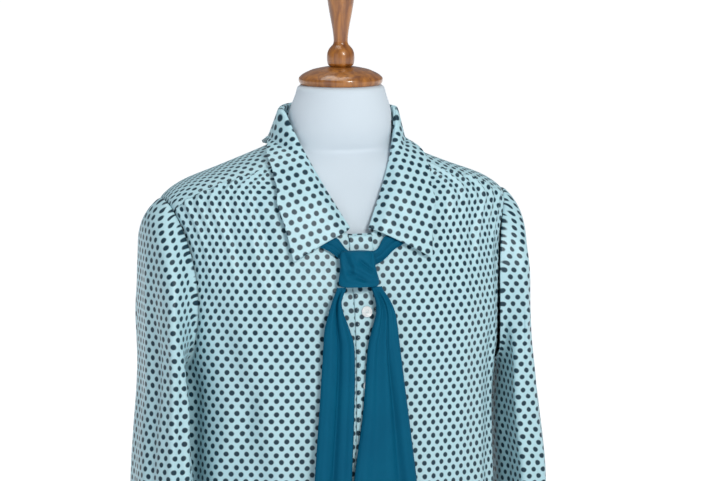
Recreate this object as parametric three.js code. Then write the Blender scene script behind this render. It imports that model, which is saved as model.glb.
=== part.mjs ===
// A long-sleeved tie neck blouse, worn by a limbless dress form on a short turned stand.
// Millimetres, +Z up, the front faces -Y, the origin is the centre of the base's underside.
import * as THREE from "three";

// Cloth
const clothThick = 1.5;
const seamGap = 0.3;
const hemZ = 160;

// Armhole: an upright oval on the side of the body, from armpit to shoulder tip
const armpitZ = 540;
const shoulderTipZ = 737;
const armholeSpread = 27; // degrees to front and back of the side line
const armholeSteps = 24; // points round the whole armhole
const sleeveOff = 0.35; // the sleeve's first ring stands this far outside the armhole
const frontYokeStep = 2; // armhole points from the tip to the front yoke seam
const backYokeStep = 4; // armhole points from the tip to the back yoke seam
const yokeNeckAngle = -52; // where the front yoke seam meets the neckline, in degrees

// Closures and trim
const placketWide = 28;
const buttonRadius = 6.5;
const buttonThick = 2.4;
const buttonPitch = 85;
const topButtonZ = 614;
const buttonCount = 5;
const buttonOff = 0.45; // a button's back face in front of the placket
const cuffHigh = 48;
const cuffThick = 2.2;
const cuffEndZ = 155;

// Scarf tie
const tieThick = 1.5;
const bandLift = 4; // outer face of the neck band over the body's cloth
const bandEndLift = 4.6; // the same where it runs into the knot
const knot = { x: -9.5, z: 663.5, wide: 43, high: 44, deep: 19 };
const knotEnd = 0.05; // share of the knot's height cut off at each end
// How square the knot is, its relative width at its foot and head, and how far its middle lies behind its back
const knotShape = { square: 5, foot: 1.2, head: 0.98, sink: 0.34 };
const knotFootZ = knot.z + (knotEnd - 0.5) * knot.high;
const tailTopY = -131; // the tails' depth under the knot
const tailHangY = -139; // and where they hang clear of the buttons

// Dress form and stand
const neckTopZ = 868.7;
const capRadius = 49;
const capY = -30;
const poleRadius = 15;
const baseRadius = 150;
const baseHigh = 20;
const formBottomZ = 110;

// The blouse's level sections: half width, the widest line's depth, and the reach to front and back of it
const bodySections = [
  { z: 160, half: 203, centre: 0, front: 137, back: 132, power: 2.3 },
  { z: 230, half: 199, centre: 0, front: 134, back: 128, power: 2.3 },
  { z: 300, half: 195, centre: 0, front: 131, back: 124, power: 2.3 },
  { z: 415, half: 191, centre: 0, front: 130, back: 120, power: 2.3 },
  { z: 500, half: 192, centre: 0, front: 132, back: 118, power: 2.3 },
  { z: 560, half: 197, centre: 0, front: 131, back: 118, power: 2.3 },
  { z: 614, half: 203, centre: 0, front: 125, back: 116, power: 2.3 },
  { z: 660, half: 206, centre: 0, front: 114, back: 112, power: 2.3 },
  { z: 702, half: 207, centre: 0, front: 101, back: 106, power: 2.3 },
  { z: 728, half: 208, centre: 0, front: 92, back: 100, power: 2.3 },
  { z: 740, half: 205, centre: 0, front: 87, back: 96, power: 2.3 },
  { z: 757, half: 181, centre: 0, front: 79, back: 89, power: 2.3 },
  { z: 773, half: 138, centre: -2, front: 71, back: 81, power: 2.3 },
  { z: 788, half: 100, centre: -6, front: 60, back: 73, power: 2.2 },
  { z: 796, half: 82, centre: -9, front: 54, back: 68, power: 2.1 },
  { z: 803, half: 72, centre: -12, front: 50, back: 64, power: 2.1 },
];

// The dress form's level sections, in the same terms. Its shoulders carry the yoke.
const shoulderDrop = 2.25; // the yoke's cloth and its clearance, measured straight down
const formSections = [
  { z: formBottomZ, half: 152, centre: 0, front: 92, back: 97, power: 2.3 },
  { z: 122, half: 166, centre: 0, front: 101, back: 106, power: 2.3 },
  { z: 190, half: 172, centre: 0, front: 105, back: 109, power: 2.3 },
  { z: 290, half: 148, centre: 0, front: 96, back: 92, power: 2.2 },
  { z: 385, half: 122, centre: 0, front: 87, back: 76, power: 2.2 },
  { z: 460, half: 134, centre: 0, front: 95, back: 80, power: 2.2 },
  { z: 540, half: 158, centre: 0, front: 110, back: 90, power: 2.2 },
  { z: 600, half: 166, centre: 0, front: 109, back: 95, power: 2.2 },
  { z: 660, half: 171, centre: 0, front: 101, back: 97, power: 2.2 },
  { z: 705, half: 176, centre: 0, front: 89, back: 95, power: 2.3 },
  { z: 737, half: 176, centre: 0, front: 79, back: 89, power: 2.3 },
  { z: 757 - shoulderDrop, half: 167, centre: 0, front: 72, back: 83, power: 2.3 },
  { z: 773 - shoulderDrop, half: 138, centre: -2, front: 65, back: 75, power: 2.3 },
  { z: 788 - shoulderDrop, half: 100, centre: -6, front: 55, back: 66, power: 2.05 },
  { z: 796 - shoulderDrop, half: 81.5, centre: -9, front: 48, back: 60, power: 2 },
  { z: 803 - shoulderDrop, half: 67.5, centre: -14, front: 49, back: 55, power: 2 },
  { z: 818, half: 62.5, centre: -21, front: 52, back: 51, power: 2 },
  { z: 838, half: 60, centre: -27, front: 51, back: 49, power: 2 },
  { z: 858, half: 53, centre: -30, front: 50, back: 48, power: 2 },
  { z: 866, half: 50.5, centre: -30, front: 49, back: 47, power: 2 },
  { z: neckTopZ, half: 47, centre: -30, front: 46, back: 44, power: 2 },
];

// Height of the neckline at each angle round the body: -90 is centre front, 0 the side, 90 centre back
const neckline = [
  { angle: -90, z: 702 },
  { angle: -87, z: 703 },
  { angle: -85.6, z: 711 },
  { angle: -83.5, z: 730 },
  { angle: -80, z: 749 },
  { angle: -76.5, z: 763 },
  { angle: -70, z: 775 },
  { angle: -57, z: 788 },
  { angle: -30, z: 797.5 },
  { angle: 0, z: 801 },
  { angle: 45, z: 803 },
  { angle: 90, z: 803 },
];

// The collar from centre back to its front end: the seam's angle, the roll line, and the outer edge on the body
const collarStations = [
  { seam: 90, rollX: 0, rollY: 43, rollZ: 841, edge: 90, edgeZ: 780, lift: 7 },
  { seam: 45, rollX: 45, rollY: 25, rollZ: 841, edge: 50, edgeZ: 789, lift: 6.2 },
  { seam: 0, rollX: 67.5, rollY: -11, rollZ: 839, edge: 4, edgeZ: 798, lift: 5.6 },
  { seam: -32, rollX: 67.5, rollY: -29, rollZ: 834, edge: -40, edgeZ: 781, lift: 7 },
  { seam: -57, rollX: 58.5, rollY: -50, rollZ: 805, edge: -62, edgeZ: 758, lift: 7 },
  { seam: -76, rollX: 41, rollY: -73, rollZ: 764, edge: -66.5, edgeZ: 729, lift: 7 },
  { seam: -83.5, rollX: 25, rollY: -88, rollZ: 732, edge: -68.4, edgeZ: 700, lift: 7.4 },
  { seam: -86.8, rollX: 12.5, rollY: -101, rollZ: 708, edge: -69.6, edgeZ: 670, lift: 9 },
];

const rollHalf = 2.4; // half the collar's thickness over its roll
const rollDeep = 3; // height of the rounded roll
const footGap = 0.9; // the collar's foot over the neckline
const fallLift = 7; // the fall's height over the body near the roll

// Each sleeve's rings, from the armhole to the cuff: the outer and the inner end of the ring's middle line,
// its half depth front to back, and how far it has left the armhole's own shape
const sleeveRings = [
  { outX: 202, outZ: 737, inX: 197, inZ: 540, depth: 60, free: 0 },
  { outX: 214, outZ: 734, inX: 199.5, inZ: 534, depth: 64, free: 0.5 },
  { outX: 221, outZ: 726, inX: 199.2, inZ: 528, depth: 67, free: 0.85 },
  { outX: 227, outZ: 710, inX: 199, inZ: 521, depth: 69, free: 1 },
  { outX: 231.5, outZ: 672, inX: 198.5, inZ: 512, depth: 71, free: 1 },
  { outX: 233.5, outZ: 630, inX: 198, inZ: 502, depth: 71, free: 1 },
  { outX: 236, outZ: 580, inX: 196.5, inZ: 490, depth: 70, free: 1 },
  { outX: 241, outZ: 528, inX: 195.5, inZ: 474, depth: 69, free: 1 },
  { outX: 248.5, outZ: 474, inX: 195, inZ: 450, depth: 68, free: 1 },
  { outX: 254, outZ: 418, inX: 195.5, inZ: 412, depth: 70, free: 1 },
  { outX: 256.5, outZ: 355, inX: 197, inZ: 355, depth: 69, free: 1 },
  { outX: 257.5, outZ: 290, inX: 201, inZ: 290, depth: 65, free: 1 },
  { outX: 256.5, outZ: 238, inX: 206, inZ: 238, depth: 66, free: 1 },
  { outX: 254, outZ: 216, inX: 210, inZ: 216, depth: 60, free: 1 },
  { outX: 247, outZ: 203.5, inX: 214, inZ: 203.5, depth: 50, free: 1 },
];

// How each sleeve hangs, the wearer's left and right: its middle's depth, and how far its inner and outer
// lines lie from the rings' own
const sleeveHang = [
  { z: 155, leftY: 6, leftIn: 6, leftOut: 5, rightY: -40, rightIn: -3, rightOut: -2 },
  { z: 300, leftY: 6, leftIn: 8, leftOut: 3, rightY: -44, rightIn: -5, rightOut: -2 },
  { z: 400, leftY: 5, leftIn: 8, leftOut: 3, rightY: -44, rightIn: -5, rightOut: -1 },
  { z: 500, leftY: 2, leftIn: 3, leftOut: 1, rightY: -32, rightIn: -1, rightOut: -1 },
  { z: 600, leftY: 0, leftIn: 0, leftOut: -3.5, rightY: -16, rightIn: 0, rightOut: 1 },
  { z: 680, leftY: 0, leftIn: 0, leftOut: -1, rightY: -5, rightIn: 0, rightOut: 1 },
  { z: 725, leftY: 0, leftIn: 0, leftOut: 0, rightY: 0, rightIn: 0, rightOut: 1 },
  { z: 745, leftY: 0, leftIn: 0, leftOut: 0, rightY: 0, rightIn: 0, rightOut: 0 },
];

// Gathers under the front yoke seam: place across the front (0 centre front, 1 armhole), ridge height, length
const gatherHalf = 0.021;
const frontGathers = [
  { at: 11 / 24, rise: 2, long: 90 },
  { at: 13 / 24, rise: 2.8, long: 150 },
  { at: 15 / 24, rise: 2.2, long: 80 },
  { at: 17 / 24, rise: 3, long: 175 },
  { at: 19 / 24, rise: 2.3, long: 110 },
  { at: 21 / 24, rise: 2.8, long: 135 },
  { at: 23 / 24, rise: 2, long: 70 },
];

// Gathers under the back yoke seam: place across the back from one side to the other
const backGathers = [
  { at: 4 / 24, rise: 2, long: 90 },
  { at: 6 / 24, rise: 2.8, long: 170 },
  { at: 8 / 24, rise: 2.2, long: 110 },
  { at: 10 / 24, rise: 2.6, long: 140 },
  { at: 14 / 24, rise: 2.4, long: 160 },
  { at: 16 / 24, rise: 2.2, long: 100 },
  { at: 18 / 24, rise: 2.8, long: 180 },
  { at: 20 / 24, rise: 2, long: 85 },
];

// The body's long hanging folds: place along X at the top and at the bottom, height of the ridge, and reach
const frontDrapes = [
  { topX: -150, lowX: -158, rise: 5, topZ: 600, lowZ: 120, wide: 17 },
  { topX: -105, lowX: -118, rise: 4, topZ: 480, lowZ: 100, wide: 20 },
  { topX: 96, lowX: 104, rise: 4, topZ: 560, lowZ: 100, wide: 18 },
  { topX: 150, lowX: 160, rise: 5, topZ: 620, lowZ: 120, wide: 16 },
];
const backDrapes = [
  { topX: -120, lowX: -136, rise: 6, topZ: 600, lowZ: 100, wide: 20 },
  { topX: -48, lowX: -56, rise: 5, topZ: 520, lowZ: 100, wide: 20 },
  { topX: 44, lowX: 50, rise: 5, topZ: 540, lowZ: 100, wide: 22 },
  { topX: 118, lowX: 132, rise: 6, topZ: 610, lowZ: 100, wide: 18 },
];

// Folds along each sleeve: the angle round it (0 outside, 90 front), ridge height and reach
const sleeveFolds = [
  { around: 38, rise: 3, topZ: 700, lowZ: 380, wide: 14 },
  { around: 78, rise: 3.5, topZ: 600, lowZ: 250, wide: 14 },
  { around: -45, rise: 3.5, topZ: 690, lowZ: 330, wide: 15 },
  { around: 10, rise: 2.5, topZ: 420, lowZ: 215, wide: 13 },
];
const cuffGathers = 12;
const cuffGatherRise = 2.2;
const cuffGatherZ = 216; // height where the cuff's gathers are fullest
const cuffGatherReach = 30;

// The neck band under the collar: its edges as shares of the way from the neckline to the collar's outer edge,
// how far along the collar it runs, and its last points before the knot
const bandBack = { upper: 0.1, lower: 0.42 };
const bandFront = { upper: 0.26, lower: 0.52 };
const bandFrontShare = 0.97;
const bandEnds = [
  { upperX: 28, upperZ: 696, middleX: 34, middleZ: 689, lowerX: 39.5, lowerZ: 683 },
  { upperX: 19, upperZ: 684, middleX: 22, middleZ: 678, lowerX: 24, lowerZ: 671 },
  { upperX: 9, upperZ: 680, middleX: 9, middleZ: 672, lowerX: 9, lowerZ: 664 },
];

// The two tails of the tie at each height: the left and the right edge along X
const leftTail = [
  { z: 641, from: -37, to: -26 },
  { z: 628, from: -44, to: -32 },
  { z: 615, from: -49, to: -31 },
  { z: 599, from: -54, to: -25 },
  { z: 575, from: -56, to: -18 },
  { z: 499, from: -61, to: -18 },
  { z: 415, from: -67, to: -21 },
  { z: 345, from: -72, to: -22 },
  { z: 285, from: -76, to: -22 },
];
const rightTail = [
  { z: 641, from: 5, to: 18 },
  { z: 628, from: 8, to: 26 },
  { z: 615, from: 8, to: 31 },
  { z: 599, from: 4, to: 34 },
  { z: 575, from: -2, to: 37 },
  { z: 499, from: -8, to: 47 },
  { z: 415, from: -19, to: 58 },
  { z: 355, from: -20, to: 65 },
  { z: 305, from: -21, to: 69 },
];
const tailColumns = 10;
const tailRows = 13;

const degrees = Math.PI / 180;
const mix = (a, b, t) => a + (b - a) * t;
const clamp01 = (t) => Math.min(1, Math.max(0, t));
const smooth = (t) => clamp01(t) ** 2 * (3 - 2 * clamp01(t));
const bell = (distance, width) => Math.exp(-((distance / width) ** 2));

// A smooth curve through the rows of a table: the value of one column where another column has a given value.
function through(table, along, column, at) {
  const rows = table[0][along] <= table[table.length - 1][along] ? table : [...table].reverse();
  const last = rows.length - 1;
  let i = rows.findIndex((row) => row[along] > at) - 1;
  if (i === -2) i = last - 1;
  i = Math.max(0, Math.min(last - 1, i));
  const slope = (k) => {
    const low = rows[Math.max(0, k - 1)];
    const high = rows[Math.min(last, k + 1)];
    return (high[column] - low[column]) / (high[along] - low[along]);
  };
  const step = rows[i + 1][along] - rows[i][along];
  const t = clamp01((at - rows[i][along]) / step);
  const a = rows[i][column];
  const b = rows[i + 1][column];
  return (
    a * (1 + 2 * t) * (1 - t) ** 2 +
    slope(i) * step * t * (1 - t) ** 2 +
    b * t * t * (3 - 2 * t) +
    slope(i + 1) * step * t * t * (t - 1)
  );
}

// A point on a level section: a rounded oval whose front and back reaches differ.
function onSections(sections, angle, z) {
  const value = (column) => through(sections, "z", column, z);
  const round = 2 / value("power");
  const c = Math.cos(angle * degrees);
  const s = Math.sin(angle * degrees);
  const reach = s < 0 ? value("front") : value("back");
  return new THREE.Vector3(
    value("half") * Math.sign(c) * Math.abs(c) ** round,
    value("centre") + reach * Math.sign(s) * Math.abs(s) ** round,
    z,
  );
}

// The outward direction of the blouse's smooth surface.
function bodyNormal(angle, z) {
  const da = 1.5;
  const dz = 1.5;
  const across = onSections(bodySections, angle + da, z).sub(onSections(bodySections, angle - da, z));
  const up = onSections(bodySections, angle, z + dz).sub(onSections(bodySections, angle, z - dz));
  return across.cross(up).normalize();
}

// A point of the blouse's surface moved out by some millimetres. It keeps the direction it was moved in.
function onBody(angle, z, out = 0) {
  const outward = bodyNormal(angle, z);
  const point = onSections(bodySections, angle, z).addScaledVector(outward, out);
  return Object.assign(point, { outward });
}

// The ridge height of one gather that starts at a seam and fades downwards.
function gatherRise(gather, across, down) {
  return gather.rise * bell(across - gather.at, gatherHalf) * smooth(1 - down / gather.long);
}

// The ridge height of one hanging fold, which fades in from its top and is fullest at its foot.
function drapeRise(drape, x, z) {
  const t = (drape.topZ - z) / (drape.topZ - drape.lowZ);
  const middle = mix(drape.topX, drape.lowX, t);
  return drape.rise * bell(x - middle, drape.wide) * smooth(t * 1.6);
}

const sum = (rows, rise) => rows.reduce((total, row) => total + rise(row), 0);

// How far the front's cloth stands out over the smooth body, at a place across the panel.
function frontFolds(across, down, p) {
  const gathers = sum(frontGathers, (row) => gatherRise(row, across, down));
  return gathers + sum(frontDrapes, (row) => drapeRise(row, p.x, p.z));
}

// How far the back's cloth stands out over the smooth body.
function backFolds(across, p) {
  const gathers = sum(backGathers, (row) => gatherRise(row, across, backYokeZ - p.z));
  return gathers + sum(backDrapes, (row) => drapeRise(row, p.x, p.z));
}

// A point of the armhole as an angle and a height: step 0 is the shoulder tip, positive steps go to the front.
function armhole(step) {
  const turn = (step / armholeSteps) * 360 * degrees;
  const middle = (shoulderTipZ + armpitZ) / 2;
  const reach = (shoulderTipZ - armpitZ) / 2;
  return { angle: -armholeSpread * Math.sin(turn), z: middle + reach * Math.cos(turn) };
}

const necklineZ = (angle) => through(neckline, "angle", "z", angle);
const yokeFrontLow = armhole(frontYokeStep);
const yokeFrontHigh = { angle: yokeNeckAngle, z: necklineZ(yokeNeckAngle) };
const backYokeZ = armhole(-backYokeStep).z;
const yokeRows = 5;
const yokeRowAt = (row) => (row / yokeRows) ** 0.85; // rows lie closer towards the neck

// The front yoke seam, from the armhole (row 0) to the neckline (row yokeRows).
function yokeSeam(row) {
  const t = yokeRowAt(row);
  return { angle: mix(yokeFrontLow.angle, yokeFrontHigh.angle, t), z: mix(yokeFrontLow.z, yokeFrontHigh.z, t) };
}

// A closed wall from its outer grid of points, whose columns turn anticlockwise seen from outside.
// Borders are drawn in by half a seam gap, a ring's columns join up, and a panel's thickness follows the body.
function wall(grid, thick, { ring = false, panel = false, drawIn = panel ? seamGap / 2 : 0 } = {}) {
  const rows = grid.length;
  const columns = grid[0].length;
  const at = (r, c) => grid[r][ring ? (c + columns) % columns : c];
  const pulled = grid.map((row) => row.map((p) => p.clone()));
  const pull = (r, c, nextR, nextC) => {
    const toward = at(nextR, nextC).clone().sub(at(r, c)).setLength(drawIn);
    pulled[r][c].add(toward);
  };
  for (let c = 0; c < columns; c++) {
    pull(0, c, 1, c);
    pull(rows - 1, c, rows - 2, c);
  }
  for (let r = 0; r < rows && !ring; r++) {
    pull(r, 0, r, 1);
    pull(r, columns - 1, r, columns - 2);
  }
  const inner = grid.map((row, r) =>
    row.map((p, c) => {
      const left = at(r, ring ? c - 1 : Math.max(0, c - 1));
      const right = at(r, ring ? c + 1 : Math.min(columns - 1, c + 1));
      const low = at(Math.max(0, r - 1), c);
      const high = at(Math.min(rows - 1, r + 1), c);
      const normal = right.clone().sub(left).cross(high.clone().sub(low)).normalize();
      return pulled[r][c].clone().addScaledVector(panel ? p.outward : normal, -thick);
    }),
  );
  const positions = [];
  for (const row of [...pulled, ...inner]) {
    for (const p of row) positions.push(p.x, p.y, p.z);
  }
  const outside = (r, c) => r * columns + (ring ? c % columns : c);
  const inside = (r, c) => rows * columns + outside(r, c);
  const index = [];
  const quad = (a, b, c, d) => index.push(a, b, c, a, c, d);
  const spans = ring ? columns : columns - 1;
  for (let r = 0; r < rows - 1; r++) {
    for (let c = 0; c < spans; c++) {
      quad(outside(r, c), outside(r, c + 1), outside(r + 1, c + 1), outside(r + 1, c));
      quad(inside(r, c), inside(r + 1, c), inside(r + 1, c + 1), inside(r, c + 1));
    }
    if (!ring) {
      quad(outside(r, 0), outside(r + 1, 0), inside(r + 1, 0), inside(r, 0));
      quad(outside(r + 1, spans), outside(r, spans), inside(r, spans), inside(r + 1, spans));
    }
  }
  for (let c = 0; c < spans; c++) {
    quad(outside(0, c + 1), outside(0, c), inside(0, c), inside(0, c + 1));
    quad(outside(rows - 1, c), outside(rows - 1, c + 1), inside(rows - 1, c + 1), inside(rows - 1, c));
  }
  return indexed(positions, index);
}

// A solid skin through a stack of closed rings, with flat ends.
function lofted(rings) {
  const columns = rings[0].length;
  const positions = rings.flat().flatMap((p) => [p.x, p.y, p.z]);
  const middle = (ring) => ring.reduce((total, p) => total.add(p), new THREE.Vector3()).divideScalar(columns);
  for (const end of [middle(rings[0]), middle(rings[rings.length - 1])]) positions.push(end.x, end.y, end.z);
  const foot = rings.length * columns;
  const index = [];
  const at = (r, c) => r * columns + (c % columns);
  for (let c = 0; c < columns; c++) {
    for (let r = 0; r < rings.length - 1; r++) {
      index.push(at(r, c), at(r, c + 1), at(r + 1, c + 1), at(r, c), at(r + 1, c + 1), at(r + 1, c));
    }
    index.push(foot, at(0, c + 1), at(0, c));
    index.push(foot + 1, at(rings.length - 1, c), at(rings.length - 1, c + 1));
  }
  return indexed(positions, index);
}

function indexed(positions, index) {
  const geometry = new THREE.BufferGeometry();
  geometry.setAttribute("position", new THREE.Float32BufferAttribute(positions, 3));
  geometry.setIndex(index);
  geometry.computeVertexNormals();
  return geometry;
}

// The same grid on the other side of the body.
function mirrored(grid) {
  return grid.map((row) => row.map((p) => new THREE.Vector3(-p.x, p.y, p.z)).reverse());
}

// A grid of body points from a function of the row and the column, for side 1 (+X) or -1 (-X).
function sided(rows, columns, side, pointAt) {
  const grid = [];
  for (let r = 0; r <= rows; r++) {
    const row = [];
    for (let c = 0; c <= columns; c++) row.push(pointAt(r, c));
    grid.push(side > 0 ? row : row.reverse());
  }
  return grid;
}

// Angle on the chosen side: the +X side as given, the -X side mirrored.
const onSide = (side, angle) => (side > 0 ? angle : 180 - angle);

const lowerRows = 5; // rows of the body's cloth between hem and armpit
const frontColumns = 24;
const backColumns = 24;
const necklineColumns = 9; // columns of the front whose top is neckline; the rest end at the yoke seam
const necklineShare = necklineColumns / frontColumns;
const necklineCorner = -87; // the corner between the V's side and its short level foot
const necklineFootAngle = -71; // where a line down from the neckline's end crosses the armpit's level

// The front panel's four borders, as an angle and a height, for a place 0 to 1 along each.
const centreFront = (t) => ({ angle: -90, z: mix(armpitZ, necklineZ(-90), t) });
const frontArmhole = (t) => armhole(mix(armholeSteps / 2, frontYokeStep, t));
function armpitLine(t) {
  const angle =
    t < necklineShare
      ? mix(-90, necklineFootAngle, t / necklineShare)
      : mix(necklineFootAngle, 0, (t - necklineShare) / (1 - necklineShare));
  return { angle, z: armpitZ };
}
function frontTop(t) {
  if (t > necklineShare) return yokeSeam((yokeRows * (1 - t)) / (1 - necklineShare));
  const s = t / necklineShare;
  const cornerShare = 1 / necklineColumns;
  const rest = Math.max(0, (s - cornerShare) / (1 - cornerShare)) ** 1.15;
  const foot = mix(-90, necklineCorner, s / cornerShare);
  const angle = s < cornerShare ? foot : mix(necklineCorner, yokeNeckAngle, rest);
  return { angle, z: necklineZ(angle) };
}

// A place inside the front above the armpit, blended between the four borders.
// Across 0 is centre front, up 1 is the top.
function frontPatch(across, up) {
  const blend = (key) =>
    mix(centreFront(up)[key], frontArmhole(up)[key], across) +
    mix(armpitLine(across)[key], frontTop(across)[key], up) -
    mix(
      mix(centreFront(0)[key], frontArmhole(0)[key], across),
      mix(centreFront(1)[key], frontArmhole(1)[key], across),
      up,
    );
  return { angle: blend("angle"), z: blend("z") };
}

// A point of the front's outer face. Along the yoke seam it lies on the yoke's own straight edges.
function frontPoint(across, row, side) {
  const upperRows = armholeSteps / 2 - frontYokeStep;
  const up = (row - lowerRows) / upperRows;
  const below = { angle: armpitLine(across).angle, z: mix(hemZ, armpitZ, row / lowerRows) };
  const place = up < 0 ? below : frontPatch(across, up);
  const angle = onSide(side, place.angle);
  const rise = frontFolds(across, frontTop(across).z - place.z, onSections(bodySections, angle, place.z));
  if (up < 1 || across <= necklineShare) return onBody(angle, place.z, rise);
  const along = (yokeRows * (1 - across)) / (1 - necklineShare);
  const from = Math.min(yokeRows - 1, Math.floor(along));
  const [low, high] = [yokeSeam(from), yokeSeam(from + 1)].map((p) => onBody(onSide(side, p.angle), p.z));
  const outward = bodyNormal(angle, place.z);
  return Object.assign(low.lerp(high, along - from).addScaledVector(outward, rise), { outward });
}

// A front: rows from the hem to the neckline and yoke seam, columns from centre front to side seam and armhole.
function frontPanel(side) {
  const rows = lowerRows + armholeSteps / 2 - frontYokeStep;
  return sided(rows, frontColumns, side, (r, c) => frontPoint(c / frontColumns, r, side));
}

// The back: rows from the hem to the back yoke seam, columns from the +X side seam to the -X one.
function backPanel() {
  const borders = [];
  for (let r = 0; r < lowerRows; r++) borders.push({ angle: 0, z: mix(hemZ, armpitZ, r / lowerRows) });
  for (let s = armholeSteps / 2; s >= backYokeStep; s--) borders.push(armhole(-s));
  return sided(borders.length - 1, backColumns, 1, (r, c) => {
    const across = c / backColumns;
    const angle = mix(borders[r].angle, 180 - borders[r].angle, across);
    return onBody(angle, borders[r].z, backFolds(across, onSections(bodySections, angle, borders[r].z)));
  });
}

const yokeBackColumns = 6; // columns of half the yoke over the back
const yokeHalf = frontYokeStep + backYokeStep + yokeBackColumns;

// The yoke: one piece over both shoulders, from its lower edge up to the neckline.
function yokePanel() {
  const lower = [];
  for (let s = frontYokeStep; s > -backYokeStep; s--) lower.push(armhole(s));
  const corner = armhole(-backYokeStep);
  for (let i = 0; i < yokeBackColumns; i++) {
    lower.push({ angle: mix(corner.angle, 90, i / yokeBackColumns), z: backYokeZ });
  }
  const half = yokeHalf;
  return sided(yokeRows, half * 2, 1, (r, c) => {
    const near = Math.min(c, half * 2 - c);
    const low = near < half ? lower[near] : { angle: 90, z: backYokeZ };
    const highAngle = mix(yokeNeckAngle, 90, near / half);
    const t = yokeRowAt(r);
    const angle = mix(low.angle, highAngle, t);
    const z = mix(low.z, necklineZ(highAngle), t);
    return onBody(c <= half ? angle : 180 - angle, z);
  });
}

// A point of a sleeve: ring number and the angle round it, 0 outside, 90 front, for side 1 (+X) or -1 (-X).
function sleevePoint(ringNumber, around, side) {
  const row = sleeveRings[ringNumber];
  const turn = around * degrees;
  const c = Math.cos(turn);
  const s = Math.sin(turn);
  const z = mix(row.inZ, row.outZ, (c + 1) / 2);
  const hang = (column) => through(sleeveHang, "z", (side > 0 ? "left" : "right") + column, z);
  const free = new THREE.Vector3(
    mix(row.inX + hang("In"), row.outX + hang("Out"), (c + 1) / 2),
    hang("Y") - row.depth * s,
    z,
  );
  const { angle, z: holeZ } = armhole((around / 360) * armholeSteps);
  const tied = onBody(angle, holeZ);
  tied.x += sleeveOff;
  return tied.lerp(free, row.free);
}

// The folds of a sleeve: how far the cloth stands out at an angle and a height.
function sleeveRise(around, z, side) {
  const turn = (a, b) => Math.abs(((a - b + 540) % 360) - 180);
  const folds = sum(sleeveFolds, (fold) => {
    const t = (fold.topZ - z) / (fold.topZ - fold.lowZ);
    const fade = Math.sin(Math.PI * clamp01(t));
    return fold.rise * fade * bell(turn(around, fold.around + side * 6), fold.wide);
  });
  const near = smooth(1 - Math.abs(z - cuffGatherZ) / cuffGatherReach);
  return folds + near * cuffGatherRise * (0.5 + 0.5 * Math.cos(around * degrees * cuffGathers));
}

// A sleeve: a closed tube through its rings, from the armhole down to the cuff.
function sleeveGrid(side) {
  const grid = sleeveRings.map((_, ringNumber) => {
    const ring = [];
    for (let i = 0; i < armholeSteps; i++) {
      const around = (i / armholeSteps) * 360;
      const p = sleevePoint(ringNumber, around, side);
      const next = Math.min(sleeveRings.length - 1, ringNumber + 1);
      const along = sleevePoint(next, around, side).sub(sleevePoint(Math.max(0, next - 1), around, side));
      const round = sleevePoint(ringNumber, around + 3, side).sub(sleevePoint(ringNumber, around - 3, side));
      const outward = round.cross(along).normalize();
      const tied = ringNumber === 0 || ringNumber === sleeveRings.length - 1;
      ring.push(tied ? p : p.addScaledVector(outward, sleeveRise(around, p.z, side)));
    }
    return ring;
  });
  return side > 0 ? grid : mirrored(grid);
}

// A cuff: a plain band below the sleeve, on the last ring's oval.
function cuffGrid(side) {
  const last = sleeveRings.length - 1;
  const bottom = sleeveRings[last].outZ;
  const grid = [];
  for (const z of [bottom, bottom - cuffHigh / 2, cuffEndZ]) {
    const ring = [];
    for (let i = 0; i < armholeSteps; i++) {
      const p = sleevePoint(last, (i / armholeSteps) * 360, side);
      ring.push(new THREE.Vector3(p.x, p.y, z));
    }
    grid.push(ring);
  }
  return side > 0 ? grid : mirrored(grid);
}

// The panels' own corners along the neckline, from centre front to centre back.
const necklineAngles = [];
for (let c = 0; c < necklineColumns; c++) necklineAngles.push(frontTop(c / frontColumns).angle);
for (let i = 0; i <= yokeHalf; i++) necklineAngles.push(mix(yokeNeckAngle, 90, i / yokeHalf));

// A point on the straight edges between those corners.
function onNeckline(angle) {
  const past = necklineAngles.findIndex((corner) => corner > angle);
  const i = past < 1 ? necklineAngles.length - 2 : past - 1;
  const [low, high] = [necklineAngles[i], necklineAngles[i + 1]];
  return onBody(low, necklineZ(low)).lerp(onBody(high, necklineZ(high)), (angle - low) / (high - low));
}

// A place along the collar from centre back (0) to its front end (1), read from the stations.
const stationRows = collarStations.map((row, i) => ({ ...row, at: i / (collarStations.length - 1) }));
const collarValue = (column, at) => through(stationRows, "at", column, at);

// The body's angle and height under the collar: across 0 is the neckline seam, 1 the outer edge.
function underCollar(at, across) {
  const seam = collarValue("seam", at);
  return {
    angle: mix(seam, collarValue("edge", at), across),
    z: mix(necklineZ(seam), collarValue("edgeZ", at), across),
  };
}

// One section of the collar: up the stand, over the roll line and down the fall to the outer edge.
function collarSection(at) {
  const seam = underCollar(at, 0);
  const foot = onNeckline(seam.angle).addScaledVector(bodyNormal(seam.angle, seam.z), -clothThick);
  const roll = new THREE.Vector3(collarValue("rollX", at), collarValue("rollY", at), collarValue("rollZ", at));
  const up = roll.clone().sub(foot).normalize();
  const out = bodyNormal(seam.angle, seam.z);
  out.addScaledVector(up, -out.dot(up)).normalize();
  const inFold = roll.clone().addScaledVector(up, -rollDeep).addScaledVector(out, -rollHalf);
  const outFold = roll.clone().addScaledVector(up, -rollDeep).addScaledVector(out, rollHalf);
  const lift = collarValue("lift", at);
  const fall = (across) => {
    const under = underCollar(at, across);
    return onBody(under.angle, under.z, mix(fallLift, lift, across));
  };
  foot.addScaledVector(up, footGap);
  return [foot, inFold, roll, outFold, fall(0.08), fall(0.36), fall(0.68), fall(1)];
}

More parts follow.
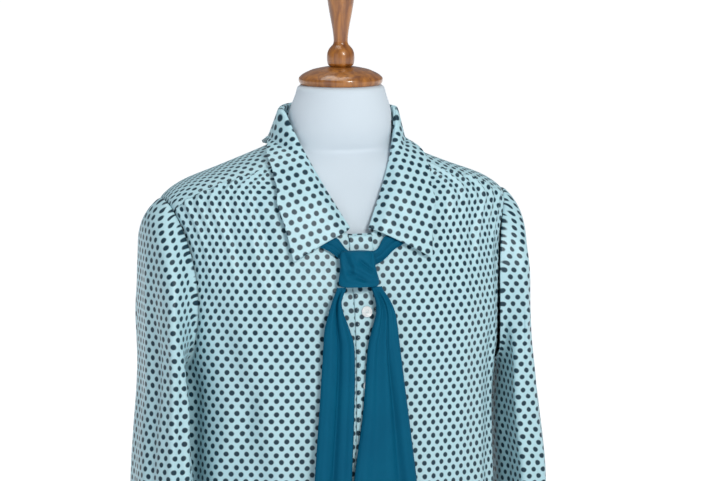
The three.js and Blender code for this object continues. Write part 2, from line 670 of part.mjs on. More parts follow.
// The collar: one piece from front end to front end round the back of the neck.
function collarGrid() {
  const perSide = 18;
  const columns = [];
  for (let i = -perSide; i <= perSide; i++) {
    const section = collarSection(Math.abs(i) / perSide);
    columns.push(section.map((p) => new THREE.Vector3(i < 0 ? p.x : -p.x, p.y, p.z)));
  }
  const rows = columns[0].length;
  const grid = [];
  for (let r = 0; r < rows; r++) grid.push(columns.map((column) => column[r]));
  return grid;
}

// The tie's neck band, under the collar's fall and down to the knot on both sides.
function bandGrid() {
  const perSide = 16;
  const section = (at) => {
    const upper = mix(bandBack.upper, bandFront.upper, smooth(at * 2 - 1));
    const lower = mix(bandBack.lower, bandFront.lower, at);
    return [upper, mix(upper, lower, 0.5), lower].map((across) => {
      const under = underCollar(at, across);
      return onBody(under.angle, under.z, bandLift);
    });
  };
  const half = [];
  for (let i = 0; i <= perSide; i++) half.push(section((i / perSide) * bandFrontShare));
  const edges = ["upper", "middle", "lower"];
  for (const row of bandEnds) {
    half.push(edges.map((edge) => inFrontOf(row[edge + "X"], row[edge + "Z"], bandEndLift)));
  }
  const flip = (points) => points.map((p) => new THREE.Vector3(-p.x, p.y, p.z));
  const columns = [...half.slice(1).reverse(), half[0].map((p) => p.clone()), ...half.slice(1).map(flip)];
  return [2, 1, 0].map((r) => columns.map((column) => column[r]));
}

// A point in front of the chest, by its place along X (0 or more), its height and its lift over the cloth.
function inFrontOf(x, z, lift) {
  const half = through(bodySections, "z", "half", z);
  const power = through(bodySections, "z", "power", z);
  const angle = -Math.acos((x / half) ** (power / 2)) / degrees;
  return onBody(angle, z, lift);
}

// The placket, made from the fronts' own points beside the centre front, moved out.
const placketLift = seamGap + clothThick;
const placketRows = lowerRows + armholeSteps / 2 - frontYokeStep;
const placketTop = placketRows - 0.1; // it stops just below the front's own top row
function placketGrid() {
  const grid = [];
  for (let r = 0; r <= placketRows; r++) {
    const row = [-1, 0, 1].map((side) => {
      const middle = frontPoint(0, Math.min(r, placketTop), 1);
      const beside = frontPoint(1 / frontColumns, Math.min(r, placketTop), side || 1);
      const p = middle.lerp(beside, side === 0 ? 0 : placketWide / 2 / Math.abs(beside.x));
      return p.add(new THREE.Vector3(0, -placketLift, 0));
    });
    grid.push(row);
  }
  return grid;
}
const placketMiddle = placketGrid().map((row) => ({ z: row[1].z, y: row[1].y }));

// The depth of the placket's outer face at a height, along its straight edges.
function placketY(z) {
  const i = Math.min(placketRows - 1, placketMiddle.filter((p) => p.z <= z).length - 1);
  const [low, high] = [placketMiddle[i], placketMiddle[i + 1]];
  return mix(low.y, high.y, (z - low.z) / (high.z - low.z));
}

// A button: a dished disc with a rounded rim, facing the front.
function buttonGeometry() {
  const rim = buttonRadius;
  const dish = 1.7; // thickness inside the rounded rim
  const profile = [
    [0, 0],
    [rim - 0.5, 0],
    [rim, 1.6],
    [rim - 1.2, buttonThick],
    [rim - 2.4, dish],
    [0, dish],
  ].map(([r, h]) => new THREE.Vector2(r, h));
  return new THREE.LatheGeometry(profile, 14);
}

// The knot: a rounded column, wider at its foot, with its back laid on the ends of the band.
function knotGeometry() {
  const rings = [];
  const around = 18;
  const levels = 8;
  for (let r = 0; r <= levels; r++) {
    const t = mix(knotEnd, 1 - knotEnd, r / levels);
    const swell = (1 - Math.abs(2 * t - 1) ** knotShape.square) ** (1 / knotShape.square);
    const half = (knot.wide / 2) * swell * mix(knotShape.foot, knotShape.head, smooth(t * 1.6));
    const z = knot.z + (t - 0.5) * knot.high;
    const ring = [];
    for (let c = 0; c < around; c++) {
      const turn = (c / around) * Math.PI * 2;
      const x = knot.x + half * Math.cos(turn);
      const chest = inFrontOf(Math.abs(x), z, 0);
      const back = chest.y + (bandEndLift + seamGap) / chest.outward.y;
      const y = back - knot.deep * knotShape.sink + (knot.deep / 2) * swell * Math.sin(turn);
      ring.push(new THREE.Vector3(x, Math.min(y, back), z));
    }
    rings.push(ring);
  }
  return lofted(rings);
}

// A tail of the tie: it hangs from under the knot in front of the buttons, with soft upright folds.
function tailGrid(tail, folds) {
  const grid = [];
  const lowest = tail[tail.length - 1].z;
  for (let r = tailRows; r >= 0; r--) {
    const t = r / tailRows;
    const z = mix(knotFootZ - seamGap, lowest, t ** 1.35);
    const from = through(tail, "z", "from", z);
    const to = through(tail, "z", "to", z);
    const row = [];
    for (let c = 0; c <= tailColumns; c++) {
      const across = c / tailColumns;
      const wave = sum(folds, (fold) => fold.deep * bell(across - fold.at, fold.wide)) * smooth(t * 6 + 0.2);
      const y = mix(tailTopY, tailHangY, smooth(t * 5)) - wave;
      row.push(new THREE.Vector3(mix(from, to, across), y, z));
    }
    grid.push(row);
  }
  return grid;
}
const leftTailFolds = [
  { at: 0.2, deep: 4.5, wide: 0.17 },
  { at: 0.72, deep: 3.5, wide: 0.17 },
];
const rightTailFolds = [
  { at: 0.16, deep: 4, wide: 0.14 },
  { at: 0.52, deep: 4.5, wide: 0.15 },
  { at: 0.86, deep: 3, wide: 0.12 },
];

// The dress form's solid body, from its flat underside to the flat top of the neck.
const shoulderLevels = [757, 773, 788, 796, 803].map((z) => z - shoulderDrop);
const trunkLevels = [formBottomZ, 122, 170, 240, 310, 385, 460, 530, 595, 650, 700, 737];
const formLevels = [...trunkLevels, ...shoulderLevels, 810, 822, 840, 858, 866, neckTopZ];
function formGeometry() {
  const around = 40;
  const rings = formLevels.map((z) => {
    const ring = [];
    for (let c = 0; c < around; c++) ring.push(onSections(formSections, (c / around) * 360, z));
    return ring;
  });
  return lofted(rings);
}

// A turned piece from its radii and heights, standing on +Z at a depth y.
function turned(profile, sides, y = 0) {
  const points = profile.map(([r, z]) => new THREE.Vector2(r, z));
  const geometry = new THREE.LatheGeometry(points, sides);
  geometry.rotateX(Math.PI / 2);
  geometry.translate(0, y, 0);
  return geometry;
}

const capBottomZ = neckTopZ + seamGap;
const capTopZ = capBottomZ + 20.4;
const finialBottomZ = capTopZ + seamGap;
const capProfile = [
  [0, capBottomZ],
  [capRadius - 2.5, capBottomZ],
  [capRadius, capBottomZ + 5],
  [capRadius - 1.6, capBottomZ + 9],
  [capRadius - 7, capBottomZ + 13],
  [capRadius - 16, capBottomZ + 17],
  [17, capTopZ],
  [0, capTopZ],
];
const finialProfile = [
  [0, finialBottomZ],
  [12.5, finialBottomZ],
  [15.6, finialBottomZ + 5],
  [15.8, finialBottomZ + 15],
  [12.5, finialBottomZ + 22],
  [8.6, finialBottomZ + 26],
  [9.6, finialBottomZ + 42],
  [11.7, finialBottomZ + 54],
  [15.8, finialBottomZ + 79],
  [16.8, finialBottomZ + 94],
  [14.5, finialBottomZ + 108],
  [8, finialBottomZ + 117],
  [0, finialBottomZ + 120],
];
const poleBottomZ = baseHigh + seamGap;
const poleTopZ = formBottomZ - seamGap;
const poleProfile = [
  [0, poleBottomZ],
  [poleRadius, poleBottomZ],
  [poleRadius, poleTopZ],
  [0, poleTopZ],
];
const baseProfile = [
  [0, 0],
  [baseRadius - 2, 0],
  [baseRadius, 2],
  [baseRadius, 9],
  [baseRadius - 9, 14.5],
  [30, baseHigh],
  [0, baseHigh],
];

const look = (color, roughness) => () => new THREE.MeshStandardMaterial({ color, roughness });
const printedSatin = look("#cfe8e6", 0.45);
const tealCloth = look("#0a6880", 0.6);
const formJersey = look("#d9e0e6", 0.85);
const turnedWood = look("#a8661e", 0.35);
const pearlButton = look("#e9edf0", 0.25);

const blouse = new THREE.Group();
function add(name, geometry, material) {
  const mesh = new THREE.Mesh(geometry, material());
  mesh.name = name;
  blouse.add(mesh);
  return mesh;
}

// Cloth pieces. The wearer's left is +X.
add("front_left", wall(frontPanel(1), clothThick, { panel: true }), printedSatin);
add("front_right", wall(frontPanel(-1), clothThick, { panel: true }), printedSatin);
add("back", wall(backPanel(), clothThick, { panel: true }), printedSatin);
add("yoke", wall(yokePanel(), clothThick, { panel: true }), printedSatin);
add("collar", wall(collarGrid(), clothThick), printedSatin);
add("placket", wall(placketGrid(), clothThick), printedSatin);
for (const [name, side] of [["left", 1], ["right", -1]]) {
  add(`sleeve_${name}`, wall(sleeveGrid(side), clothThick, { ring: true }), printedSatin);
  add(`cuff_${name}`, wall(cuffGrid(side), cuffThick, { ring: true, drawIn: seamGap }), printedSatin);
}

// Buttons down the placket
for (let i = 0; i < buttonCount; i++) {
  const button = add(`button_${i + 1}`, buttonGeometry(), pearlButton);
  const z = topButtonZ - i * buttonPitch;
  const rise = placketY(z + buttonRadius) - placketY(z - buttonRadius);
  button.rotation.x = Math.PI - Math.atan2(rise, 2 * buttonRadius);
  button.position.set(0, placketY(z) - buttonOff, z);
}

// Scarf tie
add("tie_band", wall(bandGrid(), tieThick), tealCloth);
add("tie_knot", knotGeometry(), tealCloth);
add("tie_tail_right", wall(tailGrid(leftTail, leftTailFolds), tieThick), tealCloth);
add("tie_tail_left", wall(tailGrid(rightTail, rightTailFolds), tieThick), tealCloth);

// Dress form and its stand
add("form_body", formGeometry(), formJersey);
add("neck_cap", turned(capProfile, 24, capY), turnedWood);
add("finial", turned(finialProfile, 16, capY), turnedWood);
add("pole", turned(poleProfile, 16), turnedWood);
add("base", turned(baseProfile, 28), turnedWood);

export default blouse;
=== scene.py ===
# A dotted satin blouse with a scarf tie, on a dress form. Everything below works in millimetres
# and is turned to metres where a mesh is made. The front faces -Y, and +X is the wearer's left.
import bpy
import bmesh
import math
import numpy as np
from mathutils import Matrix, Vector


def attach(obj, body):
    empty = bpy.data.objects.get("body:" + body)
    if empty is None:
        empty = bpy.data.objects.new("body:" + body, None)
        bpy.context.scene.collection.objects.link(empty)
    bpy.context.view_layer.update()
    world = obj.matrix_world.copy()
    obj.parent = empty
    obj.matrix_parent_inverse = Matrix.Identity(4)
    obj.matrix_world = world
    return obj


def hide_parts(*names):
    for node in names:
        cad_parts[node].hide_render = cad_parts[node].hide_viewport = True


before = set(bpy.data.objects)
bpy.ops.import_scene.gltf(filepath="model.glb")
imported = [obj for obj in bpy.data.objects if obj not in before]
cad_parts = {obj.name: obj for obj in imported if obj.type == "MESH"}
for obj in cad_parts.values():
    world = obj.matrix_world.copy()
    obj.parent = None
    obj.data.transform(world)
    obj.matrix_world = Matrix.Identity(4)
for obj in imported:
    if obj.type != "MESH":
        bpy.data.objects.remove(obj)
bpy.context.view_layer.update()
scene = bpy.context.scene
print("frame loaded")

# Camera: a long lens from 7 m, because the photograph has almost no perspective.
view = dict(azimuth=-18, elevation=6.5, distance=7.0, target=(0.0202, -0.0066, 0.6828), across=0.8213)
turn, lift = math.radians(view["azimuth"]), math.radians(view["elevation"])
away = Vector((math.sin(turn) * math.cos(lift), -math.cos(turn) * math.cos(lift), math.sin(lift)))
lens = bpy.data.cameras.new("photoCamera")
lens.sensor_width = 36
lens.lens = 36 * view["distance"] / view["across"]
lens.clip_end = 100
camera = bpy.data.objects.new("photoCamera", lens)
camera.location = Vector(view["target"]) + away * view["distance"]
camera.rotation_euler = away.to_track_quat("Z", "Y").to_euler()
scene.collection.objects.link(camera)
scene.camera = camera
print("camera set")

# Sizes shared with the frame
armpitZ, shoulderTipZ, armholeSpread, armholeSteps = 540, 737, 27, 24
frontYokeStep, backYokeStep, yokeNeckAngle = 2, 4, -52
hemZ, cuffTopZ, cuffEndZ = 160, 203.5, 155
clothThick, seamGap, sleeveOff = 1.5, 0.3, 0.35
placketWide, placketLift = 28, 1.8
knotFootZ = 643.7
neckTopZ, capY, baseHigh, formBottomZ = 868.7, -30, 20, 110

bodySections = dict(
    z=[160, 230, 300, 415, 500, 560, 614, 660, 702, 728, 740, 757, 773, 788, 796, 803],
    half=[203, 199, 195, 191, 192, 197, 203, 206, 207, 208, 205, 181, 138, 100, 82, 72],
    centre=[0, 0, 0, 0, 0, 0, 0, 0, 0, 0, 0, 0, -2, -6, -9, -12],
    front=[137, 134, 131, 130, 132, 131, 125, 114, 101, 92, 87, 79, 71, 60, 54, 50],
    back=[132, 128, 124, 120, 118, 118, 116, 112, 106, 100, 96, 89, 81, 73, 68, 64],
    power=[2.3, 2.3, 2.3, 2.3, 2.3, 2.3, 2.3, 2.3, 2.3, 2.3, 2.3, 2.3, 2.3, 2.2, 2.1, 2.1],
)
formSections = dict(
    z=[110, 122, 190, 290, 385, 460, 540, 600, 660, 705, 737, 754.75, 770.75, 785.75, 793.75, 800.75,
       818, 838, 858, 866, 868.7],
    half=[152, 166, 172, 148, 122, 134, 158, 166, 171, 176, 176, 167, 138, 100, 81.5, 67.5,
          62.5, 60, 53, 50.5, 47],
    centre=[0, 0, 0, 0, 0, 0, 0, 0, 0, 0, 0, 0, -2, -6, -9, -14, -21, -27, -30, -30, -30],
    front=[92, 101, 105, 96, 87, 95, 110, 109, 101, 89, 79, 72, 65, 55, 48, 49, 52, 51, 50, 49, 46],
    back=[97, 106, 109, 92, 76, 80, 90, 95, 97, 95, 89, 83, 75, 66, 60, 55, 51, 49, 48, 47, 44],
    power=[2.3, 2.3, 2.3, 2.2, 2.2, 2.2, 2.2, 2.2, 2.2, 2.3, 2.3, 2.3, 2.3, 2.05, 2, 2, 2, 2, 2, 2, 2],
)
neckline = dict(
    angle=[-90, -87, -85.6, -83.5, -80, -76.5, -70, -57, -30, 0, 45, 90],
    z=[702, 703, 711, 730, 749, 763, 775, 788, 797.5, 801, 803, 803],
)


def mix(a, b, t):
    return a + (b - a) * t


def smooth(t):
    t = np.clip(t, 0, 1)
    return t * t * (3 - 2 * t)


def bell(distance, width):
    return np.exp(-((distance / width) ** 2))


# Smooth curve through a table's columns: cubic Hermite, the slope at a row is its neighbours' chord.
def through(table, along, column, at):
    x, y = np.array(table[along], float), np.array(table[column], float)
    if x[0] > x[-1]:
        x, y = x[::-1], y[::-1]
    last = len(x) - 1
    number = np.arange(last + 1)
    low, high = np.maximum(number - 1, 0), np.minimum(number + 1, last)
    slope = (y[high] - y[low]) / (x[high] - x[low])
    at = np.asarray(at, float)
    i = np.clip(np.searchsorted(x, at, side="right") - 1, 0, last - 1)
    step = x[i + 1] - x[i]
    t = np.clip((at - x[i]) / step, 0, 1)
    ends = y[i] * (1 + 2 * t) * (1 - t) ** 2 + y[i + 1] * t * t * (3 - 2 * t)
    return ends + slope[i] * step * t * (1 - t) ** 2 + slope[i + 1] * step * t * t * (t - 1)


# Rounded oval at height z: x = half cos^(2/p), y = centre + reach sin^(2/p), front and back reach apart.
def onSections(table, angle, z):
    angle, z = np.broadcast_arrays(np.asarray(angle, float), np.asarray(z, float))
    bend = 2 / through(table, "z", "power", z)
    c, s = np.cos(np.radians(angle)), np.sin(np.radians(angle))
    reach = np.where(s < 0, through(table, "z", "front", z), through(table, "z", "back", z))
    x = through(table, "z", "half", z) * np.sign(c) * np.abs(c) ** bend
    y = through(table, "z", "centre", z) + reach * np.sign(s) * np.abs(s) ** bend
    return np.stack([x, y, z], axis=-1)


def unit(vectors):
    return vectors / np.maximum(np.linalg.norm(vectors, axis=-1, keepdims=True), 1e-9)


# Outward normal of the smooth body: the cross product of its level and its upright tangent.
def bodyNormal(angle, z):
    level = onSections(bodySections, angle + 1.5, z) - onSections(bodySections, angle - 1.5, z)
    upright = onSections(bodySections, angle, z + 1.5) - onSections(bodySections, angle, z - 1.5)
    return unit(np.cross(level, upright))


def onBody(angle, z, out=0.0):
    angle, z = np.broadcast_arrays(np.asarray(angle, float), np.asarray(z, float))
    out = np.asarray(out, float)
    return onSections(bodySections, angle, z) + bodyNormal(angle, z) * (out[..., None] if out.ndim else out)


# Normals of a grid of points: across tangent x up tangent.
def gridNormals(points):
    return unit(np.cross(np.gradient(points, axis=1), np.gradient(points, axis=0)))


# Catmull-Rom curve through control points along the first axis.
def refine(points, count):
    last = len(points) - 1
    at = np.linspace(0, last, count)
    i = np.minimum(at.astype(int), last - 1)
    t = (at - i).reshape((-1,) + (1,) * (points.ndim - 1))
    p, a, b, n = points[np.maximum(i - 1, 0)], points[i], points[i + 1], points[np.minimum(i + 2, last)]
    return 0.5 * (2 * a + (b - p) * t + (2 * p - 5 * a + 4 * b - n) * t**2 + (3 * a - 3 * b + n - p) * t**3)


# Length along a grid's rows or columns, from its first column or row.
def arcLength(points, axis):
    steps = np.linalg.norm(np.diff(points, axis=axis), axis=-1)
    start = np.zeros_like(np.take(steps, [0], axis=axis))
    return np.concatenate([start, np.cumsum(steps, axis=axis)], axis=axis)


# Cloth coordinates on the body: arc length along the level line from centre front, and up the body's side.
arcAngles = np.linspace(-90, 270, 721)
arcHeights = np.linspace(150, 806, 165)
arcTable = arcLength(onSections(bodySections, arcAngles[None, :], arcHeights[:, None]), 1)
frontLine = onSections(bodySections, -58.0, arcHeights)
frontRise = np.concatenate([[0], np.cumsum(np.linalg.norm(np.diff(frontLine, axis=0), axis=-1))])


def clothPlace(angle, z):
    column = np.clip((angle - arcAngles[0]) / (arcAngles[1] - arcAngles[0]), 0, len(arcAngles) - 1.001)
    row = np.clip((z - arcHeights[0]) / (arcHeights[1] - arcHeights[0]), 0, len(arcHeights) - 1.001)
    c, r = column.astype(int), row.astype(int)
    fc, fr = column - c, row - r
    low = mix(arcTable[r, c], arcTable[r, c + 1], fc)
    high = mix(arcTable[r + 1, c], arcTable[r + 1, c + 1], fc)
    return np.stack([mix(low, high, fr), np.interp(z, arcHeights, frontRise)], axis=-1)


# Four corners of each face of a grid, or of each grid of a stack.
def gridQuads(shape):
    corner = np.arange(math.prod(shape)).reshape(shape)
    low, high = corner[..., :-1, :], corner[..., 1:, :]
    return np.stack([low[..., :-1], low[..., 1:], high[..., 1:], high[..., :-1]], axis=-1).reshape(-1, 4)


# Merges points that meet and shades the mesh smooth.
def weld(mesh, near):
    work = bmesh.new()
    work.from_mesh(mesh)
    bmesh.ops.remove_doubles(work, verts=work.verts, dist=near)
    work.to_mesh(mesh)
    work.free()
    mesh.polygons.foreach_set("use_smooth", [True] * len(mesh.polygons))
    return mesh


# One mesh from a grid of points and its cloth coordinates. Columns that meet are welded.
def gridMesh(name, points, uv):
    quads = gridQuads(points.shape[:2])
    mesh = bpy.data.meshes.new(name)
    mesh.from_pydata((points.reshape(-1, 3) / 1000).tolist(), [], quads.tolist())
    layer = mesh.uv_layers.new(name="cloth")
    layer.data.foreach_set("uv", (uv.reshape(-1, 2)[quads.ravel()] / 1000).ravel())
    return weld(mesh, 2e-6)


def addPiece(mesh, facts):
    piece = bpy.data.objects.new(facts["name"], mesh)
    scene.collection.objects.link(piece)
    mesh.materials.append(facts["material"])
    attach(piece, "root")
    if "node" in facts:
        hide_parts(facts["node"])
    return piece


# A sheet of cloth: the grid is its outer face, and Solidify gives it its thickness inwards.
def addCloth(points, uv, facts):
    piece = addPiece(gridMesh(facts["name"], points, uv), facts)
    shell = piece.modifiers.new("thickness", "SOLIDIFY")
    shell.thickness = facts.get("thick", 1.0) / 1000
    shell.offset = -1
    return piece


# Materials. A hex colour is sRGB and is turned to linear here.
def colour(code):
    parts = [int(code[i:i + 2], 16) / 255 for i in (1, 3, 5)]
    return [p / 12.92 if p <= 0.04045 else ((p + 0.055) / 1.055) ** 2.4 for p in parts] + [1]


def addNode(tree, kind, settings=None, links=None):
    node = tree.nodes.new(kind)
    for key, value in (settings or {}).items():
        if isinstance(key, str) and hasattr(node, key):
            setattr(node, key, value)
        else:
            node.inputs[key].default_value = value
    for key, socket in (links or {}).items():
        tree.links.new(socket, node.inputs[key])
    return node


def newMaterial(name, settings):
    material = bpy.data.materials.new(name)
    material.use_nodes = True
    shader = material.node_tree.nodes["Principled BSDF"]
    for key, value in settings.items():
        shader.inputs[key].default_value = value
    return material, material.node_tree, shader


# Printed polyester satin, calendered to a soft gloss, with a screen-printed round dot. The dots are
# 6 mm across, 11.9 mm apart in a row, and each row lies 7.9 mm from the next and half a step along.
dotPrint = dict(pitch=0.0119, rowPitch=0.0158, radius=0.0030, soft=0.0007)
blousePrint, tree, shader = newMaterial("blousePrint", {
    "Roughness": 0.42, "Sheen Weight": 0.05, "Sheen Roughness": 0.4, "Specular IOR Level": 0.38,
})
cloth = addNode(tree, "ShaderNodeUVMap", {"uv_map": "cloth"}).outputs["UV"]
wobble = addNode(tree, "ShaderNodeTexNoise", {"Scale": 90.0, "Detail": 1.0}, {"Vector": cloth})
centred = addNode(tree, "ShaderNodeVectorMath", {"operation": "SUBTRACT", 1: (0.5, 0.5, 0.5)},
                  {0: wobble.outputs["Color"]})
wandered = addNode(tree, "ShaderNodeVectorMath", {"operation": "MULTIPLY_ADD", 1: (0.0012, 0.0012, 0)},
                   {0: centred.outputs[0], 2: cloth})
repeat = (dotPrint["pitch"], dotPrint["rowPitch"], 1)
distances = []
for start in ((0, 0, 0), (0.5, 0.5, 0)):
    counted = addNode(tree, "ShaderNodeVectorMath",
                      {"operation": "MULTIPLY_ADD", 1: tuple(1 / r for r in repeat), 2: start},
                      {0: wandered.outputs[0]})
    cell = addNode(tree, "ShaderNodeVectorMath", {"operation": "FRACTION"}, {0: counted.outputs[0]})
    middle = addNode(tree, "ShaderNodeVectorMath", {"operation": "SUBTRACT", 1: (0.5, 0.5, 0)},
                     {0: cell.outputs[0]})
    flat = addNode(tree, "ShaderNodeVectorMath", {"operation": "MULTIPLY", 1: (repeat[0], repeat[1], 0)},
                   {0: middle.outputs[0]})
    distances.append(addNode(tree, "ShaderNodeVectorMath", {"operation": "LENGTH"}, {0: flat.outputs[0]}))
nearest = addNode(tree, "ShaderNodeMath", {"operation": "MINIMUM"},
                  {0: distances[0].outputs["Value"], 1: distances[1].outputs["Value"]})
dot = addNode(tree, "ShaderNodeMapRange", {
    "interpolation_type": "SMOOTHSTEP", "From Min": dotPrint["radius"] - dotPrint["soft"],
    "From Max": dotPrint["radius"] + dotPrint["soft"], "To Min": 1.0, "To Max": 0.0,
}, {"Value": nearest.outputs[0]})
patchy = addNode(tree, "ShaderNodeTexNoise", {"Scale": 14.0, "Detail": 3.0}, {"Vector": cloth})
ground = addNode(tree, "ShaderNodeMix", {"data_type": "RGBA", 6: colour("#BEDFE6"), 7: colour("#B2D5DF")},
                 {0: patchy.outputs["Fac"]})
ink = addNode(tree, "ShaderNodeMix", {"data_type": "RGBA", 6: colour("#08283A"), 7: colour("#0E3644")},
              {0: patchy.outputs["Fac"]})
printed = addNode(tree, "ShaderNodeMix", {"data_type": "RGBA"},
                  {0: dot.outputs["Result"], 6: ground.outputs[2], 7: ink.outputs[2]})
tree.links.new(printed.outputs[2], shader.inputs["Base Color"])
weave = addNode(tree, "ShaderNodeTexNoise", {"Scale": 1.0, "Detail": 2.0}, {
    "Vector": addNode(tree, "ShaderNodeVectorMath", {"operation": "MULTIPLY", 1: (2600, 420, 1)},
                      {0: cloth}).outputs[0]})
slack = addNode(tree, "ShaderNodeTexNoise", {"Scale": 55.0, "Detail": 2.0, "Roughness": 0.4},
                {"Vector": cloth})
relief = addNode(tree, "ShaderNodeMath", {"operation": "MULTIPLY_ADD", 1: 7.0},
                 {0: slack.outputs["Fac"], 2: weave.outputs["Fac"]})
bump = addNode(tree, "ShaderNodeBump", {"Strength": 0.35, "Distance": 0.0001}, {"Height": relief.outputs[0]})
tree.links.new(bump.outputs[0], shader.inputs["Normal"])

# Plain dyed polyester crepe for the tie: a fine pebbled face, softly matt.
tieCrepe, tree, shader = newMaterial("tieCrepe", {
    "Roughness": 0.65, "Specular IOR Level": 0.1,
})
cloth = addNode(tree, "ShaderNodeUVMap", {"uv_map": "cloth"}).outputs["UV"]
patchy = addNode(tree, "ShaderNodeTexNoise", {"Scale": 18.0, "Detail": 3.0}, {"Vector": cloth})
dyed = addNode(tree, "ShaderNodeMix", {"data_type": "RGBA", 6: colour("#005070"), 7: colour("#005E7C")},
               {0: patchy.outputs["Fac"]})
tree.links.new(dyed.outputs[2], shader.inputs["Base Color"])
pebble = addNode(tree, "ShaderNodeTexNoise", {"Scale": 1400.0, "Detail": 2.0}, {"Vector": cloth})
bump = addNode(tree, "ShaderNodeBump", {"Strength": 0.4, "Distance": 0.0002},
               {"Height": pebble.outputs["Fac"]})
tree.links.new(bump.outputs[0], shader.inputs["Normal"])

# White cotton jersey stretched over the form: upright wales 1.1 mm apart.
formJersey, tree, shader = newMaterial("formJersey", {
    "Roughness": 0.85, "Sheen Weight": 0.15, "Specular IOR Level": 0.3,
})
place = addNode(tree, "ShaderNodeTexCoord").outputs["Object"]
patchy = addNode(tree, "ShaderNodeTexNoise", {"Scale": 9.0, "Detail": 3.0}, {"Vector": place})
knit = addNode(tree, "ShaderNodeMix", {"data_type": "RGBA", 6: colour("#D0D9E2"), 7: colour("#D8E0E8")},
               {0: patchy.outputs["Fac"]})
tree.links.new(knit.outputs[2], shader.inputs["Base Color"])
cloth = addNode(tree, "ShaderNodeUVMap", {"uv_map": "cloth"}).outputs["UV"]
wales = addNode(tree, "ShaderNodeTexWave", {"Scale": 145.0, "Distortion": 1.5, "Detail": 1.0},
                {"Vector": cloth})
bump = addNode(tree, "ShaderNodeBump", {"Strength": 0.2, "Distance": 0.0002},
               {"Height": wales.outputs["Fac"]})
tree.links.new(bump.outputs[0], shader.inputs["Normal"])

# Beech turned on a lathe, stained amber and varnished: grain upright, fine pores, clear gloss coat.
turnedWood, tree, shader = newMaterial("turnedWood", {
    "Roughness": 0.38, "Coat Weight": 0.7, "Coat Roughness": 0.12, "Specular IOR Level": 0.5,
})
place = addNode(tree, "ShaderNodeTexCoord").outputs["Object"]
drawn = addNode(tree, "ShaderNodeVectorMath", {"operation": "MULTIPLY", 1: (150, 150, 9)}, {0: place})
grain = addNode(tree, "ShaderNodeTexNoise", {"Scale": 1.0, "Detail": 5.0, "Distortion": 0.6},
                {"Vector": drawn.outputs[0]})
stain = addNode(tree, "ShaderNodeValToRGB", links={"Fac": grain.outputs["Fac"]})
stain.color_ramp.elements[0].position, stain.color_ramp.elements[1].position = 0.32, 0.68
stain.color_ramp.elements[0].color, stain.color_ramp.elements[1].color = colour("#7A4212"), colour("#B9742A")
tree.links.new(stain.outputs["Color"], shader.inputs["Base Color"])
pores = addNode(tree, "ShaderNodeTexNoise", {"Scale": 6.0, "Detail": 3.0}, {"Vector": drawn.outputs[0]})
bump = addNode(tree, "ShaderNodeBump", {"Strength": 0.15, "Distance": 0.0003},
               {"Height": pores.outputs["Fac"]})
tree.links.new(bump.outputs[0], shader.inputs["Normal"])

# Cast polyester button, pearl white, polished.
buttonPearl, tree, shader = newMaterial("buttonPearl", {
    "Roughness": 0.2, "Coat Weight": 0.5, "Coat Roughness": 0.08, "Specular IOR Level": 0.55,
})
place = addNode(tree, "ShaderNodeTexCoord").outputs["Object"]
swirl = addNode(tree, "ShaderNodeTexNoise", {"Scale": 160.0, "Detail": 2.0, "Distortion": 2.0},
                {"Vector": place})
pearl = addNode(tree, "ShaderNodeMix", {"data_type": "RGBA", 6: colour("#E4E6E8"), 7: colour("#F7F5F2")},
                {0: swirl.outputs["Fac"]})
tree.links.new(pearl.outputs[2], shader.inputs["Base Color"])

# Spun polyester sewing thread, mint white, its twist 0.6 mm long.
mintThread, tree, shader = newMaterial("mintThread", {"Roughness": 0.6, "Sheen Weight": 0.2})
place = addNode(tree, "ShaderNodeTexCoord").outputs["Object"]
twist = addNode(tree, "ShaderNodeTexNoise", {"Scale": 1600.0, "Detail": 1.0}, {"Vector": place})
spun = addNode(tree, "ShaderNodeMix", {"data_type": "RGBA", 6: colour("#B9D6D8"), 7: colour("#DDF0EF")},
               {0: twist.outputs["Fac"]})
tree.links.new(spun.outputs[2], shader.inputs["Base Color"])

# Studio floor, pale and matt, with a painted glow in its emission: weak near the stand and stronger further
# away, so that it fades to white.
paleFloor, tree, shader = newMaterial("paleFloor", {
    "Roughness": 0.9, "Specular IOR Level": 0.1, "Emission Color": colour("#FFFFFF"),
})
place = addNode(tree, "ShaderNodeTexCoord").outputs["Object"]
# Painted glow: the floor's emission strength rises with its distance from the stand's axis.
away = addNode(tree, "ShaderNodeVectorMath", {"operation": "LENGTH"}, {0: place})
glow = addNode(tree, "ShaderNodeMapRange", {
    "interpolation_type": "SMOOTHSTEP", "From Min": 1.7, "From Max": 2.4, "To Min": 0.15, "To Max": 0.82,
}, {"Value": away.outputs["Value"]})
tree.links.new(glow.outputs["Result"], shader.inputs["Emission Strength"])
patchy = addNode(tree, "ShaderNodeTexNoise", {"Scale": 2.0, "Detail": 2.0}, {"Vector": place})
paint = addNode(tree, "ShaderNodeMix", {"data_type": "RGBA", 6: colour("#F6F6F6"), 7: colour("#F9F9F9")},
                {0: patchy.outputs["Fac"]})
tree.links.new(paint.outputs[2], shader.inputs["Base Color"])
print("materials made")


# Armhole: angle = -27 sin, z = an oval between armpit and shoulder tip. Step 0 is the tip, +steps the front.
def armhole(step):
    turned = np.radians(np.asarray(step, float) / armholeSteps * 360)
    middle, reach = (shoulderTipZ + armpitZ) / 2, (shoulderTipZ - armpitZ) / 2
    return -armholeSpread * np.sin(turned), middle + reach * np.cos(turned)


def necklineZ(angle):
    return through(neckline, "angle", "z", angle)


# Front yoke seam from the armhole (0) to the neckline (1).
def yokeSeam(t):
    angle, z = armhole(frontYokeStep)
    return mix(angle, yokeNeckAngle, t), mix(z, necklineZ(yokeNeckAngle), t)


